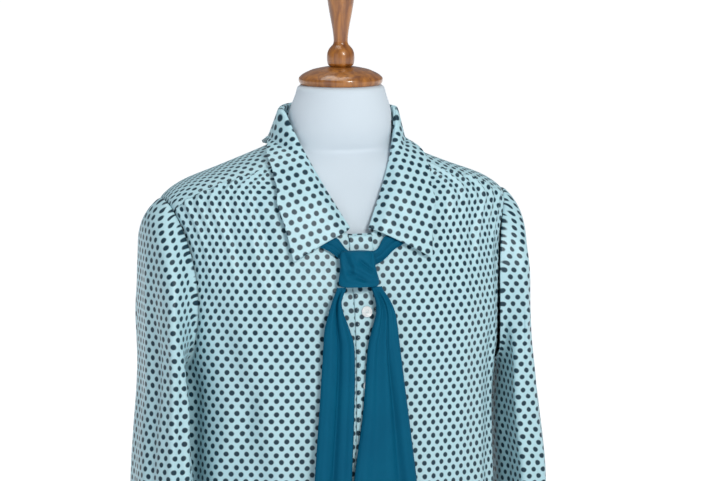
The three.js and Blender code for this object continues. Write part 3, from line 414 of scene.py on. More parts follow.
# How much a thin fold adds: rows of a table summed, each a ridge (+) or trough (-) along a line from
# (x1, z1) to (x2, z2), bowed sideways in its middle and fading at both ends.
def creases(rows, x, z):
    rise = np.zeros_like(x)
    for x1, z1, x2, z2, wide, deep, bow in rows:
        dx, dz = x2 - x1, z2 - z1
        long = math.hypot(dx, dz)
        t = ((x - x1) * dx + (z - z1) * dz) / long**2
        side = ((x - x1) * dz - (z - z1) * dx) / long - bow * 4 * t * (1 - t)
        rise += deep * bell(side, wide) * smooth(t / 0.22) * smooth((1 - t) / 0.3)
    return rise


gatherHalf, gatherCount = 0.021, 24
frontGathers = dict(at=[11, 13, 15, 17, 19, 21, 23], rise=[2, 2.8, 2.2, 3, 2.3, 2.8, 2],
                    long=[90, 150, 80, 175, 110, 135, 70])
backGathers = dict(at=[4, 6, 8, 10, 14, 16, 18, 20], rise=[2, 2.8, 2.2, 2.6, 2.4, 2.2, 2.8, 2],
                   long=[90, 170, 110, 140, 160, 100, 180, 85])
frontDrapes = dict(topX=[-150, -105, 96, 150], lowX=[-158, -118, 104, 160], rise=[5, 4, 4, 5],
                   topZ=[600, 480, 560, 620], lowZ=[120, 100, 100, 120], wide=[17, 20, 18, 16])
backDrapes = dict(topX=[-120, -48, 44, 118], lowX=[-136, -56, 50, 132], rise=[6, 5, 5, 6],
                  topZ=[600, 520, 540, 610], lowZ=[100, 100, 100, 100], wide=[20, 20, 22, 18])


# Gathers: a soft ridge at each row's place, with a narrow pinch between ridges close to the seam.
def gathers(table, across, down):
    rise = np.zeros_like(across)
    for at, height, long in zip(table["at"], table["rise"], table["long"]):
        spread = gatherHalf * (0.75 + 0.5 * smooth(down / long))
        rise += height * bell(across - at / gatherCount, spread) * smooth(1 - down / long)
        rise -= 0.9 * bell(across - (at - 1) / gatherCount, 0.008) * smooth(1 - down / (0.45 * long))
    return rise


# Long hanging folds, fading in from the top and fullest at the hem.
def drapes(table, x, z):
    rise = np.zeros_like(x)
    columns = (table[column] for column in ("topX", "lowX", "rise", "topZ", "lowZ", "wide"))
    for topX, lowX, height, topZ, lowZ, wide in zip(*columns):
        t = (topZ - z) / (topZ - lowZ)
        rise += height * bell(x - mix(topX, lowX, t), wide) * smooth(t * 1.6)
    return rise


# Blouse front: 132 columns from centre front to the armhole, and 200 rows.
necklineShare, cornerShare, necklineCorner, necklineFootAngle = 9 / 24, 1 / 9, -87, -71


def armpitLine(t):
    near = mix(-90, necklineFootAngle, t / necklineShare)
    far = mix(necklineFootAngle, 0, (t - necklineShare) / (1 - necklineShare))
    return np.where(t < necklineShare, near, far)


def frontTop(t):
    s = t / necklineShare
    rest = np.maximum(0, (s - cornerShare) / (1 - cornerShare)) ** 1.15
    vee = np.where(s < cornerShare, mix(-90, necklineCorner, s / cornerShare),
                   mix(necklineCorner, yokeNeckAngle, rest))
    seamAngle, seamZ = yokeSeam(np.clip((1 - t) / (1 - necklineShare), 0, 1) ** 0.85)
    onSeam = t > necklineShare
    veeZ = necklineZ(np.minimum(vee, yokeNeckAngle))
    return np.where(onSeam, seamAngle, vee), np.where(onSeam, seamZ, veeZ)


# Above the armpit a place is blended between the panel's four borders (a Coons patch in angle and height).
def frontPlace(across, up):
    armAngle, armZ = armhole(mix(armholeSteps / 2, frontYokeStep, up))
    topAngle, topZ = frontTop(across)
    lowAngle = armpitLine(across)
    low0, low1 = armhole(armholeSteps / 2)
    high0, high1 = armhole(frontYokeStep)
    centreTop = necklineZ(-90.0)
    angle = (mix(-90, armAngle, across) + mix(lowAngle, topAngle, up)
             - mix(mix(-90, low0, across), mix(-90, high0, across), up))
    z = (mix(mix(armpitZ, centreTop, up), armZ, across) + mix(armpitZ, topZ, up)
         - mix(mix(armpitZ, low1, across), mix(centreTop, high1, across), up))
    return angle, z


# Creases of the wearer's right front (the photograph's left), then of the left front: s1, z1, s2, z2, width,
# height, bow. s is the distance round the body from centre front.
rightCreases = [
    (-211, 700, -232, 520, 9, -3.2, -6), (-214, 600, -210, 130, 17, -7.5, 8),
    (-236, 560, -234, 150, 13, 4.0, 0), (-186, 640, -120, 330, 15, -3.6, -10),
    (-150, 600, -92, 330, 13, 2.2, -8), (-126, 430, -118, 120, 17, -4.2, 6),
    (-180, 470, -168, 200, 12, 3.0, 5), (-140, 715, -122, 560, 8, -1.8, 5),
    (-112, 735, -96, 590, 7, -2.0, 4), (-128, 740, -112, 620, 6, 1.6, 3),
    (-86, 560, -62, 300, 13, -1.8, -6), (-60, 620, -46, 480, 11, 1.0, 3),
    (-92, 330, -86, 120, 13, 3.0, -3), (-52, 400, -48, 140, 14, -2.4, -4),
    (-156, 330, -150, 120, 11, -3.4, 3), (-122, 560, -168, 380, 13, -4.0, 3),
    (-150, 738, -146, 672, 5, -2.2, 1), (-135, 745, -130, 690, 5, -2.0, -1),
    (-118, 750, -116, 700, 4.5, -1.8, 1), (-28, 360, -26, 130, 9, 1.8, 2),
    (-196, 660, -150, 600, 9, -1.4, 8), (-70, 300, -68, 120, 9, -1.6, 2),
]
leftCreases = [
    (196, 700, 214, 560, 9, -2.8, 5), (216, 600, 212, 130, 15, -6.0, -6),
    (166, 620, 176, 200, 13, -3.4, -6), (196, 520, 192, 150, 11, 3.2, 4),
    (142, 690, 150, 440, 12, 1.6, 7), (120, 730, 112, 600, 7, -1.8, -4),
    (146, 720, 140, 600, 7, -1.6, -3), (100, 560, 116, 320, 14, -1.8, 7), (82, 640, 70, 480, 11, 1.0, -3),
    (134, 360, 138, 130, 12, 3.0, 3), (112, 300, 116, 120, 10, -2.6, -2), (76, 460, 78, 200, 12, 1.8, 4),
    (146, 610, 158, 400, 12, -3.4, 4), (184, 610, 188, 400, 9, -3.6, -3),
    (116, 752, 112, 690, 5, -2.0, 1), (134, 748, 130, 680, 5, -2.2, -1), (154, 740, 148, 676, 5, -2.0, 1),
    (60, 380, 64, 130, 13, -2.2, -3), (88, 320, 90, 125, 9, 1.8, -2), (36, 340, 34, 130, 9, 1.6, 2),
    (176, 640, 130, 590, 8, -1.2, -7), (232, 480, 230, 150, 11, 2.6, 0), (158, 320, 160, 130, 9, 2.0, 2),
]
seamDip = dict(deep=0.7, wide=2.6, armDeep=2.0, armWide=6.0)
hemFold = dict(high=12, proud=0.35, soft=1.5)
fullness = dict(front=34, back=60, fade=190)


# How far the turned hem stands out.
def hemRise(z):
    return hemFold["proud"] * smooth((hemZ + hemFold["high"] - z) / hemFold["soft"])


# Distance of each point from the nearer armhole's rim.
def offArmhole(points):
    rim = onBody(*armhole(np.linspace(-12, 12, 73)))
    nearest = np.full(points.shape[:-1], 1e3)
    for place in np.concatenate([rim, rim * np.array([-1, 1, 1])]):
        nearest = np.minimum(nearest, np.linalg.norm(points - place, axis=-1))
    return nearest


# The armhole seam's dip, on both sides of its rim.
def armDip(points):
    return seamDip["armDeep"] * bell(offArmhole(points), seamDip["armWide"])


def frontGrid(side):
    columns = np.linspace(0, 1, 133)
    lower, upper = np.linspace(0, 1, 121)[:-1], np.linspace(0, 1, 81)
    across, up = np.meshgrid(columns, upper)
    topAngle, topZ = frontPlace(across, up)
    lowAcross, lowUp = np.meshgrid(columns, lower)
    angle = np.concatenate([armpitLine(lowAcross), topAngle])
    z = np.concatenate([mix(hemZ, armpitZ, lowUp), topZ])
    across = np.concatenate([lowAcross, across])
    down = frontTop(across)[1] - z
    if side < 0:
        angle = 180 - angle
    smoothBody = onSections(bodySections, angle, z)
    x = smoothBody[..., 0]
    uv = clothPlace(angle, z)
    if side < 0:
        uv[..., 0] -= clothPlace(270 + 0 * z, z)[..., 0]
    rise = gathers(frontGathers, across, down) + drapes(frontDrapes, x, z)
    rise += creases(leftCreases if side > 0 else rightCreases, uv[..., 0], z)
    rise += hemRise(z)
    columnsLong = arcLength(smoothBody, 1)
    fromArmhole = columnsLong[:, -1:] - columnsLong
    fromTop = arcLength(smoothBody, 0)
    fromTop = fromTop[-1:] - fromTop
    rise *= smooth(fromArmhole / 7)
    rise -= seamDip["deep"] * bell(fromTop, seamDip["wide"]) * (across > necklineShare)
    rise -= armDip(smoothBody)
    points = smoothBody + bodyNormal(angle, z) * rise[..., None]
    gathered = np.clip((across - 10 / gatherCount) / (14 / gatherCount), 0, 1) * fullness["front"]
    gathered *= smooth(1 - down / fullness["fade"])
    uv[..., 0] += side * gathered
    if side < 0:
        points, uv = points[:, ::-1], uv[:, ::-1]
    return points, uv


gap = seamGap / 2


# Draws a grid's border in by half a seam gap, so that neighbours stay apart.
def drawIn(points):
    out = points.copy()
    out[0] += unit(points[1] - points[0]) * gap
    out[-1] += unit(points[-2] - points[-1]) * gap
    out[:, 0] += unit(points[:, 1] - points[:, 0]) * gap
    out[:, -1] += unit(points[:, -2] - points[:, -1]) * gap
    return out


fronts = {}
for side, name in ((1, "front_left"), (-1, "front_right")):
    points, uv = frontGrid(side)
    fronts[side] = points
    addCloth(drawIn(points), uv, dict(
        name="blouse_" + name, node=name, material=blousePrint, slot="blouse_print", thick=1.0,
        flat=(0.34, 0.63), area=0.19, held="hung", restsOn=["blouse_yoke"]))
print("fronts made")


# Blouse back: 150 columns from armhole to armhole and 160 rows, gathered under the yoke.
backYokeZ = armhole(-backYokeStep)[1]
backCreases = [
    (-168, 660, -150, 500, 10, -2.4, 6), (-120, 640, -96, 470, 13, 1.8, -6),
    (-60, 620, -52, 430, 12, -1.6, 4), (20, 610, 10, 430, 12, 1.5, 5), (72, 640, 62, 470, 11, -1.8, -4),
    (160, 660, 148, 500, 10, -2.2, -6), (118, 560, 106, 380, 12, 1.8, 5),
    (-184, 520, -176, 320, 8, -2.4, 3), (184, 500, 178, 300, 8, -2.4, -3),
    (-90, 420, -84, 210, 12, -2.4, 4), (-20, 440, -16, 220, 12, 2.0, -3), (84, 400, 78, 200, 12, -2.4, 3),
    (150, 380, 146, 190, 10, 2.2, 2), (-150, 380, -146, 190, 10, 2.2, -2), (0, 330, 4, 180, 11, -1.8, 2),
    (-110, 300, -108, 180, 9, 1.5, 1), (36, 300, 38, 180, 9, 1.5, -1), (120, 300, 122, 180, 9, -1.6, 1),
]
lowerZ = np.linspace(hemZ, armpitZ, 101)[:-1]
armAngle, armZ = armhole(-np.linspace(armholeSteps / 2, backYokeStep, 61))
border = np.concatenate([np.zeros(100), armAngle])[:, None]
z = np.concatenate([lowerZ, armZ])[:, None] + np.zeros((1, 151))
across = np.linspace(0, 1, 151)[None, :] + np.zeros_like(z)
angle = mix(border, 180 - border, across)
smoothBody = onSections(bodySections, angle, z)
x = smoothBody[..., 0]
rise = gathers(backGathers, across, backYokeZ - z) + drapes(backDrapes, x, z) + creases(backCreases, x, z)
rise += hemRise(z)
long = arcLength(smoothBody, 1)
fromSide = np.minimum(long, long[:, -1:] - long)
rise *= smooth(fromSide / 7)
rise -= seamDip["deep"] * bell(backYokeZ - z, seamDip["wide"])
rise -= armDip(smoothBody)
backPoints = smoothBody + bodyNormal(angle, z) * rise[..., None]
uv = clothPlace(angle, z)
uv[..., 0] -= clothPlace(90 + 0 * z, z)[..., 0]
uv[..., 0] += (across - 0.5) * fullness["back"] * smooth(1 - (backYokeZ - z) / fullness["fade"])
addCloth(drawIn(backPoints), uv, dict(
    name="blouse_back", node="back", material=blousePrint, slot="blouse_print", thick=1.0,
    flat=(0.64, 0.53), area=0.305, held="hung", restsOn=["blouse_yoke"]))
print("back made")

# Yoke: one piece over both shoulders. The lower edge runs down the armhole to the back seam.
yokeSteps, rimSteps = 24, frontYokeStep + backYokeStep
yokeAt = np.linspace(0, yokeSteps, 193)
near = np.minimum(yokeAt, yokeSteps - yokeAt)
stepAngle, stepZ = armhole(frontYokeStep - near)
cornerAngle = armhole(-backYokeStep)[0]
backShare = (near - rimSteps) / (yokeSteps / 2 - rimSteps)
lowAngle = np.where(near < rimSteps, stepAngle, mix(cornerAngle, 90, backShare))
lowZ = np.where(near < rimSteps, stepZ, backYokeZ)
highAngle = mix(yokeNeckAngle, 90, near / (yokeSteps / 2))
t = np.linspace(0, 1, 49)[:, None]
angle = mix(lowAngle, highAngle, t)
z = mix(lowZ, necklineZ(highAngle), t)
angle = np.where(yokeAt > yokeSteps / 2, 180 - angle, angle)
yokePoints = onBody(angle, z)
yokeLong = arcLength(yokePoints, 1)
borderNear = np.minimum(arcLength(yokePoints, 0), np.minimum(yokeLong, yokeLong[:, -1:] - yokeLong))
dip = seamDip["deep"] * bell(borderNear, seamDip["wide"])
dip = np.maximum(dip, armDip(yokePoints))
yokePoints = yokePoints - bodyNormal(angle, z) * dip[..., None]
# Cloth coordinates: round an axis inside the shoulders, and along their slope
shoulderAxisZ, shoulderRadius, slopeLong = 690, 96, 1.1
overShoulder = np.arctan2(yokePoints[..., 2] - shoulderAxisZ, yokePoints[..., 1])
uv = np.stack([yokePoints[..., 0] * slopeLong, overShoulder * shoulderRadius], axis=-1)
addCloth(drawIn(yokePoints), uv, dict(
    name="blouse_yoke", node="yoke", material=blousePrint, slot="blouse_print", thick=1.0,
    flat=(0.47, 0.24), area=0.086, held="stretched", restsOn=["form_body"]))
print("yoke made")

# Collar: one section at each place along it, up the stand, over the roll and down the fall.
collarStations = dict(
    at=[0, 1 / 7, 2 / 7, 3 / 7, 4 / 7, 5 / 7, 6 / 7, 1],
    seam=[90, 45, 0, -32, -57, -76, -83.5, -86.8],
    rollX=[0, 45, 67.5, 67.5, 58.5, 41, 25, 12.5],
    rollY=[43, 25, -11, -29, -50, -73, -88, -101],
    rollZ=[841, 841, 839, 834, 805, 764, 732, 708],
    edge=[90, 50, 4, -40, -62, -66.5, -68.4, -69.6],
    edgeZ=[780, 789, 798, 781, 758, 729, 700, 670],
    lift=[7, 6.2, 5.6, 7, 7, 7, 7.4, 9],
)
collarFold = dict(rollHalf=2.4, rollDeep=3, footGap=0.9, fallLift=7)


def collarValue(column, at):
    return through(collarStations, "at", column, at)


def underCollar(at, across):
    seam = collarValue("seam", at)
    return mix(seam, collarValue("edge", at), across), mix(necklineZ(seam), collarValue("edgeZ", at), across)


def collarSections(at):
    seam = collarValue("seam", at)
    out = bodyNormal(seam, necklineZ(seam))
    foot = onBody(seam, necklineZ(seam)) - out * clothThick
    roll = np.stack([collarValue("rollX", at), collarValue("rollY", at), collarValue("rollZ", at)], axis=-1)
    up = unit(roll - foot)
    out = unit(out - up * np.sum(out * up, axis=-1, keepdims=True))
    rows = [foot + up * collarFold["footGap"]]
    rows += [roll - up * collarFold["rollDeep"] - out * collarFold["rollHalf"], roll]
    rows += [roll - up * collarFold["rollDeep"] + out * collarFold["rollHalf"]]
    for across in (0.08, 0.36, 0.68, 1):
        angle, z = underCollar(at, across)
        rows.append(onBody(angle, z, mix(collarFold["fallLift"], collarValue("lift", at), across)))
    return np.array(rows)


def bothSides(half):
    mirrored = half[:, 1:] * np.array([-1, 1, 1])
    return np.concatenate([half[:, ::-1], mirrored], axis=1)


collarRows, rollRow, fallRow = 64, 18, 30
collarPoints = refine(bothSides(collarSections(np.linspace(0, 1, 86))), collarRows)
collarDents = [
    (-62, 790, -58, 715, 9, -1.0, 4), (-40, 752, -52, 690, 8, 0.9, -3), (64, 780, 62, 715, 9, -1.0, -4),
    (44, 748, 60, 690, 8, 0.8, 3), (-30, 724, -62, 684, 7, -0.7, 2), (34, 718, 66, 684, 7, -0.7, -2),
]
onFall = smooth((np.arange(collarRows)[:, None] - fallRow) / 12)
dent = creases(collarDents, collarPoints[..., 0], collarPoints[..., 2]) * onFall * (collarPoints[..., 1] < 0)
collarPoints = collarPoints + gridNormals(collarPoints) * dent[..., None]
down = arcLength(collarPoints, 0)
collarPiece = addCloth(collarPoints, np.stack([arcLength(collarPoints, 1), -down], axis=-1), dict(
    name="blouse_collar", node="collar", material=blousePrint, slot="blouse_print", thick=1.5,
    flat=(0.60, 0.14), area=0.068, held="folded",
    restsOn=["blouse_yoke", "blouse_front_left", "blouse_front_right"]))


# Cloth coordinates by unfolding a sheet flat: scale = root of its area over its unfolded area. It is
# turned so that its middle column, from the low row to the top row, points up.
def unfold(piece, columns, topRow, lowRow):
    mesh = piece.data
    bpy.context.view_layer.objects.active = piece
    piece.select_set(True)
    bpy.ops.object.mode_set(mode="EDIT")
    bpy.ops.mesh.select_all(action="SELECT")
    bpy.ops.uv.unwrap(method="ANGLE_BASED", margin=0)
    bpy.ops.object.mode_set(mode="OBJECT")
    piece.select_set(False)
    flat = np.empty(len(mesh.loops) * 2)
    mesh.uv_layers["cloth"].data.foreach_get("uv", flat)
    flat = flat.reshape(-1, 2)
    owner = np.empty(len(mesh.loops), int)
    mesh.loops.foreach_get("vertex_index", owner)
    corners = flat.reshape(-1, 4, 2)
    nextCorners = np.roll(corners, -1, axis=1)
    turned = corners[..., 0] * nextCorners[..., 1] - corners[..., 1] * nextCorners[..., 0]
    flatArea = abs(turned.sum()) / 2
    clothArea = sum(face.area for face in mesh.polygons)
    placeOf = np.zeros((len(mesh.vertices), 2))
    placeOf[owner] = flat
    up = placeOf[topRow * columns + columns // 2] - placeOf[lowRow * columns + columns // 2]
    c, s = up[1] / np.hypot(*up), up[0] / np.hypot(*up)
    flat = flat @ np.array([[c, s], [-s, c]]) * math.sqrt(clothArea / flatArea)
    mesh.uv_layers["cloth"].data.foreach_set("uv", flat.ravel())


unfold(collarPiece, collarPoints.shape[1], rollRow, collarRows - 1)
print("collar made")

# Sleeves: rings from armhole (0) to cuff (14), each a slanted oval between its outer and inner end.
sleeveRings = dict(
    k=list(range(15)),
    outX=[202, 214, 221, 227, 231.5, 233.5, 236, 241, 248.5, 254, 256.5, 257.5, 256.5, 254, 247],
    outZ=[737, 734, 726, 710, 672, 630, 580, 528, 474, 418, 355, 290, 238, 216, 203.5],
    inX=[197, 199.5, 199.2, 199, 198.5, 198, 196.5, 195.5, 195, 195.5, 197, 201, 206, 210, 214],
    inZ=[540, 534, 528, 521, 512, 502, 490, 474, 450, 412, 355, 290, 238, 216, 203.5],
    depth=[60, 64, 67, 69, 71, 71, 70, 69, 68, 70, 69, 65, 66, 60, 50],
    free=[0, 0.5, 0.85, 1, 1, 1, 1, 1, 1, 1, 1, 1, 1, 1, 1],
)
sleeveHang = dict(
    z=[155, 300, 400, 500, 600, 680, 725, 745],
    leftY=[6, 6, 5, 2, 0, 0, 0, 0], leftIn=[6, 8, 8, 3, 0, 0, 0, 0], leftOut=[5, 3, 3, 1, -3.5, -1, 0, 0],
    rightY=[-40, -44, -44, -32, -16, -5, 0, 0], rightIn=[-3, -5, -5, -1, 0, 0, 0, 0],
    rightOut=[-2, -2, -1, -1, 1, 1, 1, 0],
)
sleeveFolds = dict(around=[38, 78, -45, 10], rise=[3, 3.5, 3.5, 2.5], topZ=[700, 600, 690, 420],
                   lowZ=[380, 250, 330, 215], wide=[14, 14, 15, 13])
cuffGathers = dict(count=12, rise=2.2, z=216, reach=30)


def sleevePoint(k, around, side):
    row = {c: through(sleeveRings, "k", c, k) for c in ("outX", "outZ", "inX", "inZ", "depth", "free")}
    c, s = np.cos(np.radians(around)), np.sin(np.radians(around))
    outer = (c + 1) / 2
    z = mix(row["inZ"], row["outZ"], outer)
    key = "left" if side > 0 else "right"
    inX = row["inX"] + through(sleeveHang, "z", key + "In", z)
    outX = row["outX"] + through(sleeveHang, "z", key + "Out", z)
    y = through(sleeveHang, "z", key + "Y", z) - row["depth"] * s
    free = np.stack([mix(inX, outX, outer), y, z], axis=-1)
    tied = onBody(*armhole(around / 360 * armholeSteps)) + np.array([sleeveOff, 0, 0])
    return mix(tied, free, np.clip(row["free"], 0, 1)[..., None])


# Creases of the sleeves: a, z, a, z, width, height, bow. a is 1.2 mm for each degree round the sleeve from
# its outer line, + to the front.
rightSleeveCreases = [
    (92, 690, 79, 150, 13, -5.4, -4), (46, 640, 52, 210, 13, 3.2, 5), (112, 600, 104, 200, 14, 3.4, -4),
    (18, 700, 26, 480, 10, -2.2, 4), (30, 480, 18, 230, 10, -2.6, -4), (138, 560, 132, 220, 12, -3.4, 4),
    (0, 560, -6, 300, 11, 2.0, 4), (60, 330, 30, 280, 8, -1.6, 6), (-18, 420, -22, 225, 9, -2.2, 3),
    (-40, 700, -48, 500, 11, 2.0, 4), (-74, 650, -84, 400, 12, -3.0, -5),
    (-50, 460, -56, 240, 10, 2.4, -3), (-110, 560, -116, 300, 12, 2.6, 5),
    (-142, 480, -146, 230, 12, -2.8, 3), (-96, 360, -92, 220, 9, -2.0, -2),
    (168, 520, 166, 240, 12, 2.4, 3), (112, 320, 92, 270, 8, -1.6, 5), (40, 610, 88, 575, 8, -1.3, 5),
]
leftSleeveCreases = [
    (64, 690, 74, 470, 11, -2.2, 4), (104, 650, 118, 380, 13, 2.4, -5), (148, 680, 140, 220, 11, -5.0, 4),
    (84, 470, 78, 230, 12, -3.0, -4), (184, 540, 180, 210, 13, 3.0, 3),
    (124, 400, 112, 220, 10, -2.4, -4), (54, 420, 48, 225, 10, 2.4, 3), (96, 340, 130, 300, 8, -1.5, 6),
    (24, 680, 18, 440, 11, -2.4, 4), (-10, 600, -6, 330, 11, 2.2, 4), (-36, 690, -44, 470, 11, -2.2, -4),
    (-76, 640, -84, 400, 12, 2.6, 5), (-112, 540, -118, 300, 12, -3.0, -5),
    (-58, 410, -62, 235, 10, 2.4, 3), (-142, 450, -146, 240, 11, 2.2, -3), (10, 400, 12, 225, 9, -2.0, 3),
    (-90, 350, -88, 220, 9, -2.0, -2), (70, 600, 112, 570, 8, -1.3, -5),
]
ringLine = np.hypot(np.diff(sleeveRings["outX"]), np.diff(sleeveRings["outZ"]))
ringStart = np.concatenate([[0], np.cumsum(ringLine)])
cuffGrids, sleeveColumns = [], np.linspace(180, 540, 145)


# Turns a left sleeve's or cuff's grid to face out, or mirrors it for the right one.
def handed(points, uv, side):
    if side < 0:
        return points * np.array([-1, 1, 1]), uv * np.array([-1, 1])
    return points[:, ::-1], uv[:, ::-1]


for side, name in ((1, "left"), (-1, "right")):
    rings = np.interp(np.linspace(0, ringStart[-1], 175), ringStart, np.arange(15))
    around, k = np.meshgrid(sleeveColumns, rings)
    grid = sleevePoint(k, around, side)
    outward = -gridNormals(grid)
    signed = (around + 180) % 360 - 180
    z = grid[..., 2]
    rise = np.zeros_like(z)
    columns = (sleeveFolds[column] for column in ("around", "rise", "topZ", "lowZ", "wide"))
    for at, height, topZ, lowZ, wide in zip(*columns):
        apart = np.abs((signed - at - side * 6 + 540) % 360 - 180)
        rise += height * np.sin(np.pi * np.clip((topZ - z) / (topZ - lowZ), 0, 1)) * bell(apart, wide)
    rise += creases(leftSleeveCreases if side > 0 else rightSleeveCreases, signed * 1.2, z)
    nearCuff = smooth(1 - np.abs(z - cuffGathers["z"]) / cuffGathers["reach"])
    rise += nearCuff * cuffGathers["rise"] * (0.5 + 0.5 * np.cos(np.radians(around) * cuffGathers["count"]))
    long = arcLength(grid, 0)
    rise *= smooth(long / 30) * smooth((long[-1:] - long) / 8)
    rise -= seamDip["armDeep"] * bell(long, seamDip["armWide"])
    grid = grid + outward * rise[..., None]
    grid[:, -1] = grid[:, 0]
    # Cloth coordinates: the length round the level section from the outer line, and the height
    levels, middle = np.linspace(z.min(), z.max(), 150), len(sleeveColumns) // 2
    level = np.stack([[np.interp(levels, height[::-1], column[::-1]) for height, column in zip(z.T, part.T)]
                      for part in (grid[..., 0], grid[..., 1])], axis=-1)
    girth = arcLength(np.transpose(level, (1, 0, 2)), 1)
    girth -= girth[:, middle:middle + 1]
    u = np.stack([np.interp(height, levels, length) for height, length in zip(z.T, girth.T)], axis=-1)
    addCloth(*handed(grid, np.stack([u, z], axis=-1), side), dict(
        name=f"blouse_sleeve_{name}", node=f"sleeve_{name}", material=blousePrint, slot="blouse_print",
        thick=1.0, flat=(0.42, 0.54), area=0.165, held="gathered", restsOn=[f"blouse_cuff_{name}"]))
    around, z = np.meshgrid(sleeveColumns, np.linspace(cuffTopZ - seamGap, cuffEndZ + seamGap, 21))
    grid = sleevePoint(14 + 0 * z, around, side)
    grid[..., 2] = z
    middle = grid.mean(axis=(0, 1))
    flatOut = unit((grid - middle) * np.array([1, 1, 0]))
    puff = 0.5 * smooth((cuffTopZ - z) / 4) * smooth((z - cuffEndZ) / 4)
    grid = grid + flatOut * puff[..., None]
    grid, uv = handed(grid, np.stack([arcLength(grid, 1), z - cuffEndZ], axis=-1), side)
    cuffGrids.append(grid)
    addCloth(grid, uv, dict(
        name=f"blouse_cuff_{name}", node=f"cuff_{name}", material=blousePrint, slot="blouse_print", thick=2.2,
        flat=(0.24, 0.048), held="folded", restsOn=[f"blouse_sleeve_{name}"]))
print("sleeves made")

# Placket: the button band on the centre front, on the fronts' own surface, moved out.
placketTopZ = mix(armpitZ, float(necklineZ(-90.0)), 0.99)


def frontAngle(x, z):
    share = np.clip(np.abs(x) / through(bodySections, "z", "half", z), 0, 1)
    angle = -np.degrees(np.arccos(share ** (through(bodySections, "z", "power", z) / 2)))
    return np.where(x < 0, 180 - angle, angle)


x, z = np.meshgrid(np.linspace(-placketWide / 2, placketWide / 2, 17),
                   np.linspace(hemZ + 0.2, placketTopZ, 176))
angle = frontAngle(x, z)
placketPoints = onSections(bodySections, angle, z) + np.array([0, -placketLift, 0])
placketPoints[..., 1] -= hemRise(z)
uv = np.stack([x, z], axis=-1)
addCloth(placketPoints, uv, dict(
    name="blouse_placket", node="placket", material=blousePrint, slot="blouse_print", thick=1.2,
    flat=(0.028, 0.53), held="hung", restsOn=["blouse_front_left", "blouse_front_right"]))


def placketY(z):
    middle = placketPoints[:, placketPoints.shape[1] // 2]
    return np.interp(z, middle[:, 2], middle[:, 1])


# Buttons: a turned profile with a dished face, four holes and two bars of thread.
buttonPlaces = dict(topZ=614, pitch=85, count=5, off=0.45, holeRing=1.75, holeRadius=0.72, holeDeep=1.2)
buttonProfile = refine(np.array([
    [0, 1.7], [1.2, 1.7], [2.4, 1.7], [3.6, 1.72], [4.4, 1.95], [5.0, 2.33], [5.6, 2.4], [6.2, 2.1],
    [6.5, 1.5], [6.35, 0.7], [5.9, 0.08], [4.5, 0], [2, 0], [0, 0]], float), 90)
spin, row = np.meshgrid(np.linspace(0, 2 * np.pi, 73), np.arange(90))
faceRows = 50
radius, height = buttonProfile[row, 0].clip(0), buttonProfile[row, 1].copy()
for quarter in range(4):
    a = np.pi / 4 + quarter * np.pi / 2
    apart = np.hypot(radius * np.cos(spin) - buttonPlaces["holeRing"] * np.cos(a),
                     radius * np.sin(spin) - buttonPlaces["holeRing"] * np.sin(a))
    insideHole = smooth((buttonPlaces["holeRadius"] + 0.12 - apart) / 0.24)
    height -= buttonPlaces["holeDeep"] * insideHole * (row < faceRows)
radius[0], radius[-1] = 0, 0
disc = np.stack([radius * np.cos(spin), -height, radius * np.sin(spin)], axis=-1)
print("placket and buttons shaped")


# Small stitches along a path: each one a little rounded bar that dips into the cloth at its ends.
def stitchMesh(paths, name, long=2.1, gap=0.9, wide=0.42):
    around, t = np.meshgrid(np.linspace(0, 2 * np.pi, 7), np.linspace(0, 1, 6))
    thick = np.sin(np.pi * t) ** 0.5 * wide / 2
    bar = np.stack([(t - 0.5) * long, np.cos(around) * thick, np.sin(around) * thick * 0.7], axis=-1)
    bars = []
    for points, normals in paths:
        length = np.concatenate([[0], np.cumsum(np.linalg.norm(np.diff(points, axis=0), axis=-1))])
        count = int(length[-1] / (long + gap))
        at = (np.arange(count) + 0.5) * length[-1] / count
        place = np.stack([np.interp(at, length, points[:, i]) for i in range(3)], axis=-1)
        ahead = np.stack([np.interp(at + 0.8, length, points[:, i]) for i in range(3)], axis=-1)
        behind = np.stack([np.interp(at - 0.8, length, points[:, i]) for i in range(3)], axis=-1)
        out = unit(np.stack([np.interp(at, length, normals[:, i]) for i in range(3)], axis=-1))
        along = unit(ahead - behind)
        across = unit(np.cross(out, along))
        out = np.cross(along, across)
        frames = np.stack([along, across, out], axis=1)
        bars.append(np.einsum("rci,nij->nrcj", bar, frames) + place[:, None, None, :])
    bars = np.concatenate(bars)
    mesh = bpy.data.meshes.new(name)
    mesh.from_pydata((bars.reshape(-1, 3) / 1000).tolist(), [], gridQuads(bars.shape[:3])[:, ::-1].tolist())
    return weld(mesh, 1e-6)


def addStitches(name, paths, **size):
    addPiece(stitchMesh(paths, name, **size), dict(name=name, material=mintThread, slot="blouse_print"))


threadPaths = []
for number in range(buttonPlaces["count"]):
    z = buttonPlaces["topZ"] - number * buttonPlaces["pitch"]
    tilt = math.atan2(float(placketY(z + 6.5) - placketY(z - 6.5)), 13)
    y = float(placketY(z)) - buttonPlaces["off"]
    c, s = math.cos(tilt), math.sin(tilt)
    placed = disc @ np.array([[1, 0, 0], [0, c, -s], [0, s, c]]) + np.array([0, y, z])
    faceUv = disc[..., [0, 2]]
    addPiece(gridMesh(f"pearl_button_{number + 1}", placed[::-1], faceUv[::-1]), dict(
        name=f"pearl_button_{number + 1}", node=f"button_{number + 1}", material=buttonPearl,
        slot="button_pearl"))
    for x in (-1.24, 1.24):
        threadPaths.append((np.array([[x, y - 1.75, z - 1.6], [x, y - 1.75, z + 1.6]]),
                            np.array([[0, -1, 0], [0, -1, 0]], float)))
addStitches("button_threads", threadPaths, long=3.0, gap=0.1, wide=0.7)
print("buttons made")

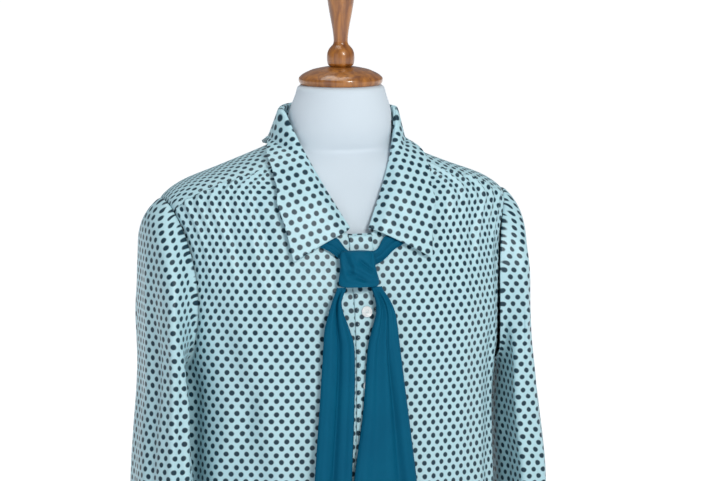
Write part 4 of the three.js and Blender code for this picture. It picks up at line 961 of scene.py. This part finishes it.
# Scarf tie. The neck band lies under the collar and runs down to the knot on both sides.
bandAt = np.linspace(0, 0.97, 17)
bandUpper = mix(0.1, 0.26, smooth(bandAt * 2 - 1))
bandLower = mix(0.42, 0.52, bandAt)
bandRows = []
bandEnds = {1: [[39.5, 683], [24, 671], [9, 664]], 0.5: [[34, 689], [22, 678], [9, 672]],
            0: [[28, 696], [19, 684], [9, 680]]}
for share, ends in bandEnds.items():
    angle, z = underCollar(bandAt, mix(bandUpper, bandLower, share))
    endX, endZ = np.array(ends, float).T
    bandRows.append(np.concatenate([onBody(angle, z, 4.0), onBody(frontAngle(endX, endZ), endZ, 4.6)]))
bandPoints = np.transpose(refine(np.transpose(bothSides(np.array(bandRows)), (1, 0, 2)), 260), (1, 0, 2))
bandPoints = refine(bandPoints, 25)
share = np.linspace(0, 1, 25)[:, None]
fromKnot = np.minimum(np.linspace(0, 1, 260), np.linspace(1, 0, 260))[None, :]
pleat = 0.75 * np.cos(share * 2 * np.pi * 2.5 + fromKnot * 9) * smooth(1 - fromKnot / 0.2)
pleat += 0.2 * np.cos(share * 19)
bandPoints = bandPoints + gridNormals(bandPoints) * pleat[..., None]
uv = np.stack([arcLength(bandPoints, 1)[12][None, :] + 0 * share, arcLength(bandPoints, 0)], axis=-1)
addCloth(bandPoints, uv, dict(
    name="scarf_band", node="tie_band", material=tieCrepe, slot="tie_cloth", thick=1.2,
    flat=(0.58, 0.018), held="folded", restsOn=["blouse_yoke", "blouse_front_left", "blouse_front_right"]))


# Closes a stack of rings above and below: rings that shrink to each end's centre, the upper ones domed.
def closeEnds(rings, reach, count, dome=0.0):
    share = np.linspace(0, reach, count)[:, None, None]
    foot = mix(rings[0].mean(axis=0), rings[0], share)
    head = mix(rings[-1].mean(axis=0), rings[-1], share[::-1])
    head[:, :, 2] += dome * (1 - share[::-1, :, 0] ** 2)
    return np.concatenate([foot, rings, head])


# Knot: level rounded rings x = half swell cos, y = deep/2 swell sin, swell = (1 - |2t - 1|^5)^(1/5), wider at
# the foot, its back flattened on the band's ends, and wrapped folds pressed into its face.
knot = dict(x=-9.5, z=663.5, wide=43, high=44, deep=19, end=0.05, square=5, foot=1.2, head=0.98, sink=0.34,
            off=4.9, wrapDeep=1.6)
knotWraps = [
    (-32, 688, -24, 648, 2.4, 1.4, 2), (-26, 690, -20, 664, 2.0, -1.4, 1),
    (-20, 686, -15, 652, 2.4, 1.6, 0), (-22, 672, 14, 650, 2.6, 1.9, 0),
    (-12, 676, 12, 659, 2.4, -2.0, 1), (-28, 662, 2, 645, 2.8, -1.9, -2), (10, 690, 6, 664, 2.2, -1.4, 1),
    (-30, 652, 12, 645, 2.2, 1.1, -1), (-8, 690, 2, 676, 3.0, 1.2, 1),
]
t = mix(knot["end"], 1 - knot["end"], np.linspace(0, 1, 97))[:, None]
spin = np.linspace(0, 2 * np.pi, 145)[None, :]
swell = (1 - np.abs(2 * t - 1) ** knot["square"]) ** (1 / knot["square"])
z = knot["z"] + (t - 0.5) * knot["high"] + 0 * spin
x = knot["x"] + knot["wide"] / 2 * swell * mix(knot["foot"], knot["head"], smooth(t * 1.6)) * np.cos(spin)
chest = onSections(bodySections, frontAngle(x, z), z)[..., 1]
back = chest + knot["off"] / bodyNormal(frontAngle(x, z), z)[..., 1]
y = back - knot["deep"] * knot["sink"] + knot["deep"] / 2 * swell * np.sin(spin)
wrap = knot["wrapDeep"] * creases(knotWraps, x, z) * smooth(-np.sin(spin) / 0.3)
y = np.minimum(y - wrap, back)
knotPoints = closeEnds(np.stack([x, y, z], axis=-1), 0.92, 6, dome=1.2)
uv = np.stack([spin * 18 + 0 * knotPoints[..., 2], knotPoints[..., 2]], axis=-1)
addPiece(gridMesh("scarf_knot", knotPoints, uv), dict(
    name="scarf_knot", node="tie_knot", material=tieCrepe, slot="tie_cloth"))

# Tails: two widths of the scarf, gathered at the knot and hanging in soft upright folds.
tails = {
    "right": dict(z=[641, 628, 615, 599, 575, 499, 415, 345, 285],
                  low=[-37, -44, -49, -54, -56, -61, -67, -72, -76],
                  high=[-26, -32, -31, -25, -18, -18, -21, -22, -22],
                  folds=[(0.2, 4.5, 0.17), (0.72, 3.5, 0.17)],
                  creases=[(0.5, 0.46, -3.4, 0.055, 0.03), (0.9, 0.84, -1.2, 0.06, -0.02)]),
    "left": dict(z=[641, 628, 615, 599, 575, 499, 415, 355, 305], low=[5, 8, 8, 4, -2, -8, -19, -20, -21],
                 high=[18, 26, 31, 34, 37, 47, 58, 65, 69],
                 folds=[(0.16, 4, 0.14), (0.52, 4.5, 0.15), (0.86, 3, 0.12)],
                 creases=[(0.46, 0.8, -3.2, 0.05, 0.03), (0.3, 0.26, -1.0, 0.07, -0.02),
                          (0.66, 0.94, 1.0, 0.06, 0.0)]),
}
tailTopY, tailHangY = -131, -139
for name, tail in tails.items():
    across, t = np.meshgrid(np.linspace(0, 1, 61), np.linspace(1, 0, 121))
    lowest = tail["z"][-1]
    z = mix(knotFootZ - seamGap, lowest, t**1.35)
    low, high = through(tail, "z", "low", z), through(tail, "z", "high", z)
    wave = sum(deep * bell(across - at, wide) for at, deep, wide in tail["folds"]) * smooth(t * 6 + 0.2)
    for top, foot, deep, wide, bow in tail["creases"]:
        middle = mix(top, foot, t) + bow * np.sin(np.pi * t)
        wave = wave + deep * bell(across - middle, wide * (0.7 + 0.8 * t)) * smooth(t * 8)
    curl = 2.2 * (smooth((0.05 - across) / 0.05) + smooth((across - 0.95) / 0.05))
    y = mix(tailTopY, tailHangY, smooth(t * 5)) - wave + curl
    points = np.stack([mix(low, high, across), y, z], axis=-1)
    uv = np.stack([mix(low, high, across), z], axis=-1)
    addCloth(points, uv, dict(
        name="scarf_tail_" + name, node="tie_tail_" + name, material=tieCrepe, slot="tie_cloth", thick=1.1,
        flat=(0.10, 0.36), area=0.024, held="hung", restsOn=["scarf_knot"]))
print("tie made")

# Topstitching beside the seams, 3 mm a stitch.
paths = []


def alongRow(points, row, shift=0.12):
    normals = gridNormals(points)
    return points[row] + normals[row] * shift, normals[row]


def alongColumn(points, column, shift=0.12):
    normals = gridNormals(points)
    return points[:, column] + normals[:, column] * shift, normals[:, column]


edgeMargin, collarBack, stitchTopZ = 5, collarPoints.shape[1] // 2, 660
edge = int(np.argmin(np.abs(down[-1:, collarBack] - down[:, collarBack] - edgeMargin)))
line, normals = alongRow(collarPoints, edge)
paths.append((line[3:-3], normals[3:-3]))
for column in (4, -5):
    line, normals = alongColumn(collarPoints, column)
    paths.append((line[22:edge], normals[22:edge]))
addStitches("collar_stitching", paths)
paths = []
belowKnot = int(np.sum(placketPoints[:, 0, 2] < stitchTopZ))
for column in (2, -3):
    line, normals = alongColumn(placketPoints, column)
    paths.append((line[:belowKnot], normals[:belowKnot]))
addStitches("placket_stitching", paths)
addStitches("hem_stitching", [alongRow(fronts[1], 4), alongRow(fronts[-1], 4), alongRow(backPoints, 3)])
line, normals = alongRow(yokePoints, 2)
backSeam = slice(50, 143)
addStitches("yoke_stitching", [alongColumn(yokePoints, 2), alongColumn(yokePoints, -3),
                               (line[backSeam], normals[backSeam])])
addStitches("cuff_stitching", [alongRow(grid, row) for grid in cuffGrids for row in (2, -3)])
print("stitching made")

# Dress form: finer rings through the same sections, closed above and below.
levels = np.concatenate([np.linspace(formBottomZ, 700, 80), np.linspace(704, neckTopZ, 60)])[:, None]
angle = np.linspace(0, 360, 145)[None, :]
body = onSections(formSections, angle, levels)
formPoints = closeEnds(body, 0.97, 8)
uv = np.stack([angle * 2.4 + 0 * formPoints[..., 2], formPoints[..., 2]], axis=-1)
addPiece(gridMesh("dress_form", formPoints, uv), dict(
    name="dress_form", node="form_body", material=formJersey, slot="form_jersey"))


# Turned wood: a profile of radius and height, carried round the stand's axis.
def addTurned(name, node, profile, y=0, sides=96):
    profile = np.array(profile, float)
    spin = np.linspace(0, 2 * np.pi, sides + 1)[None, :]
    radius, height = profile[:, :1], profile[:, 1:]
    points = np.stack([radius * np.cos(spin), y + radius * np.sin(spin), height + 0 * spin], axis=-1)
    uv = np.stack([spin * 40 + 0 * radius, height + 0 * spin], axis=-1)
    mesh = gridMesh(name, points, uv)
    mesh.set_sharp_from_angle(angle=math.radians(32))
    return addPiece(mesh, dict(name=name, node=node, material=turnedWood, slot="stand_wood"))


def rounded(rows, each=5):
    rows = np.array(rows, float)
    return refine(rows, (len(rows) - 1) * each + 1)


capHigh, finialHigh = 20.4, 120
capBottomZ = neckTopZ + seamGap
capTopZ = capBottomZ + capHigh
finialZ = capTopZ + seamGap
capFace = rounded([[46.5, 0], [48.3, 2.2], [49, 5], [48.6, 7.6], [47.4, 9], [45.2, 11], [42, 13], [38, 14.9],
                   [33, 17], [25, 18.9], [17, capHigh]])
capRows = [[0, 0], *capFace.tolist(), [0, capHigh]]
addTurned("wood_neck_cap", "neck_cap", [[r, capBottomZ + h] for r, h in capRows], y=capY, sides=128)
finialFace = rounded([[12.5, 0], [15.0, 2.4], [15.8, 6], [16.1, 10], [15.6, 15.5], [13.8, 20], [11, 23.5],
                      [8.9, 26], [8.3, 30], [8.7, 36], [9.6, 43], [11.2, 52], [13.6, 65], [15.6, 78],
                      [16.7, 90], [16.2, 101], [14.0, 109.5], [8.2, 117], [3, 119.6]])
finialRows = [[0, 0], *finialFace.tolist(), [0, finialHigh]]
addTurned("wood_finial", "finial", [[r, finialZ + h] for r, h in finialRows], y=capY)
poleFootZ, poleTopZ = baseHigh + seamGap, formBottomZ - seamGap
poleRows = [[0, poleFootZ], [15, poleFootZ], [15, 30], [14.4, 31], [14.4, 34], [15, 35], [15, poleTopZ],
            [0, poleTopZ]]
addTurned("wood_pole", "pole", poleRows, sides=64)
baseFace = rounded([[148, 0], [149.6, 1], [150, 3], [150, 7], [149, 10], [145.5, 12.8], [141, 14.4],
                    [120, 15.6], [90, 17.2], [60, 18.6], [30, baseHigh]])
addTurned("wood_base", "base", [[0, 0], *baseFace.tolist(), [0, baseHigh]], sides=160)
print("form and stand made")

# Studio: a pale floor that runs out of sight, a soft key above the camera's right, a fill and a sky.
floorMesh = bpy.data.meshes.new("studio_floor")
floorMesh.from_pydata([(-60, -60, 0), (60, -60, 0), (60, 60, 0), (-60, 60, 0)], [], [(0, 1, 2, 3)])
floorMesh.materials.append(paleFloor)
floor = bpy.data.objects.new("studio_floor", floorMesh)
scene.collection.objects.link(floor)
world = bpy.data.worlds.new("studioSky")
scene.world = world
world.use_nodes = True
sky = world.node_tree.nodes["Background"]
sky.inputs["Color"].default_value = colour("#ECF4FF")
sky.inputs["Strength"].default_value = 0.26
lamps = [
    dict(name="keyLight", place=(0.5, -3.2, 2.3), size=0.8, power=62, tint="#FBFFFC"),
    dict(name="fillLight", place=(-2.8, -2.0, 1.4), size=1.8, power=7, tint="#E8F2FF"),
    dict(name="topLight", place=(-0.2, 0.3, 3.0), size=1.4, power=20, tint="#F8FFFC"),
]
for lamp in lamps:
    light = bpy.data.lights.new(lamp["name"], "AREA")
    light.size, light.energy, light.color = lamp["size"], lamp["power"], colour(lamp["tint"])[:3]
    holder = bpy.data.objects.new(lamp["name"], light)
    holder.location = lamp["place"]
    holder.rotation_euler = (holder.location - Vector((0, 0, 0.6))).to_track_quat("Z", "Y").to_euler()
    scene.collection.objects.link(holder)
scene.view_settings.view_transform = "Standard"
print("studio set")
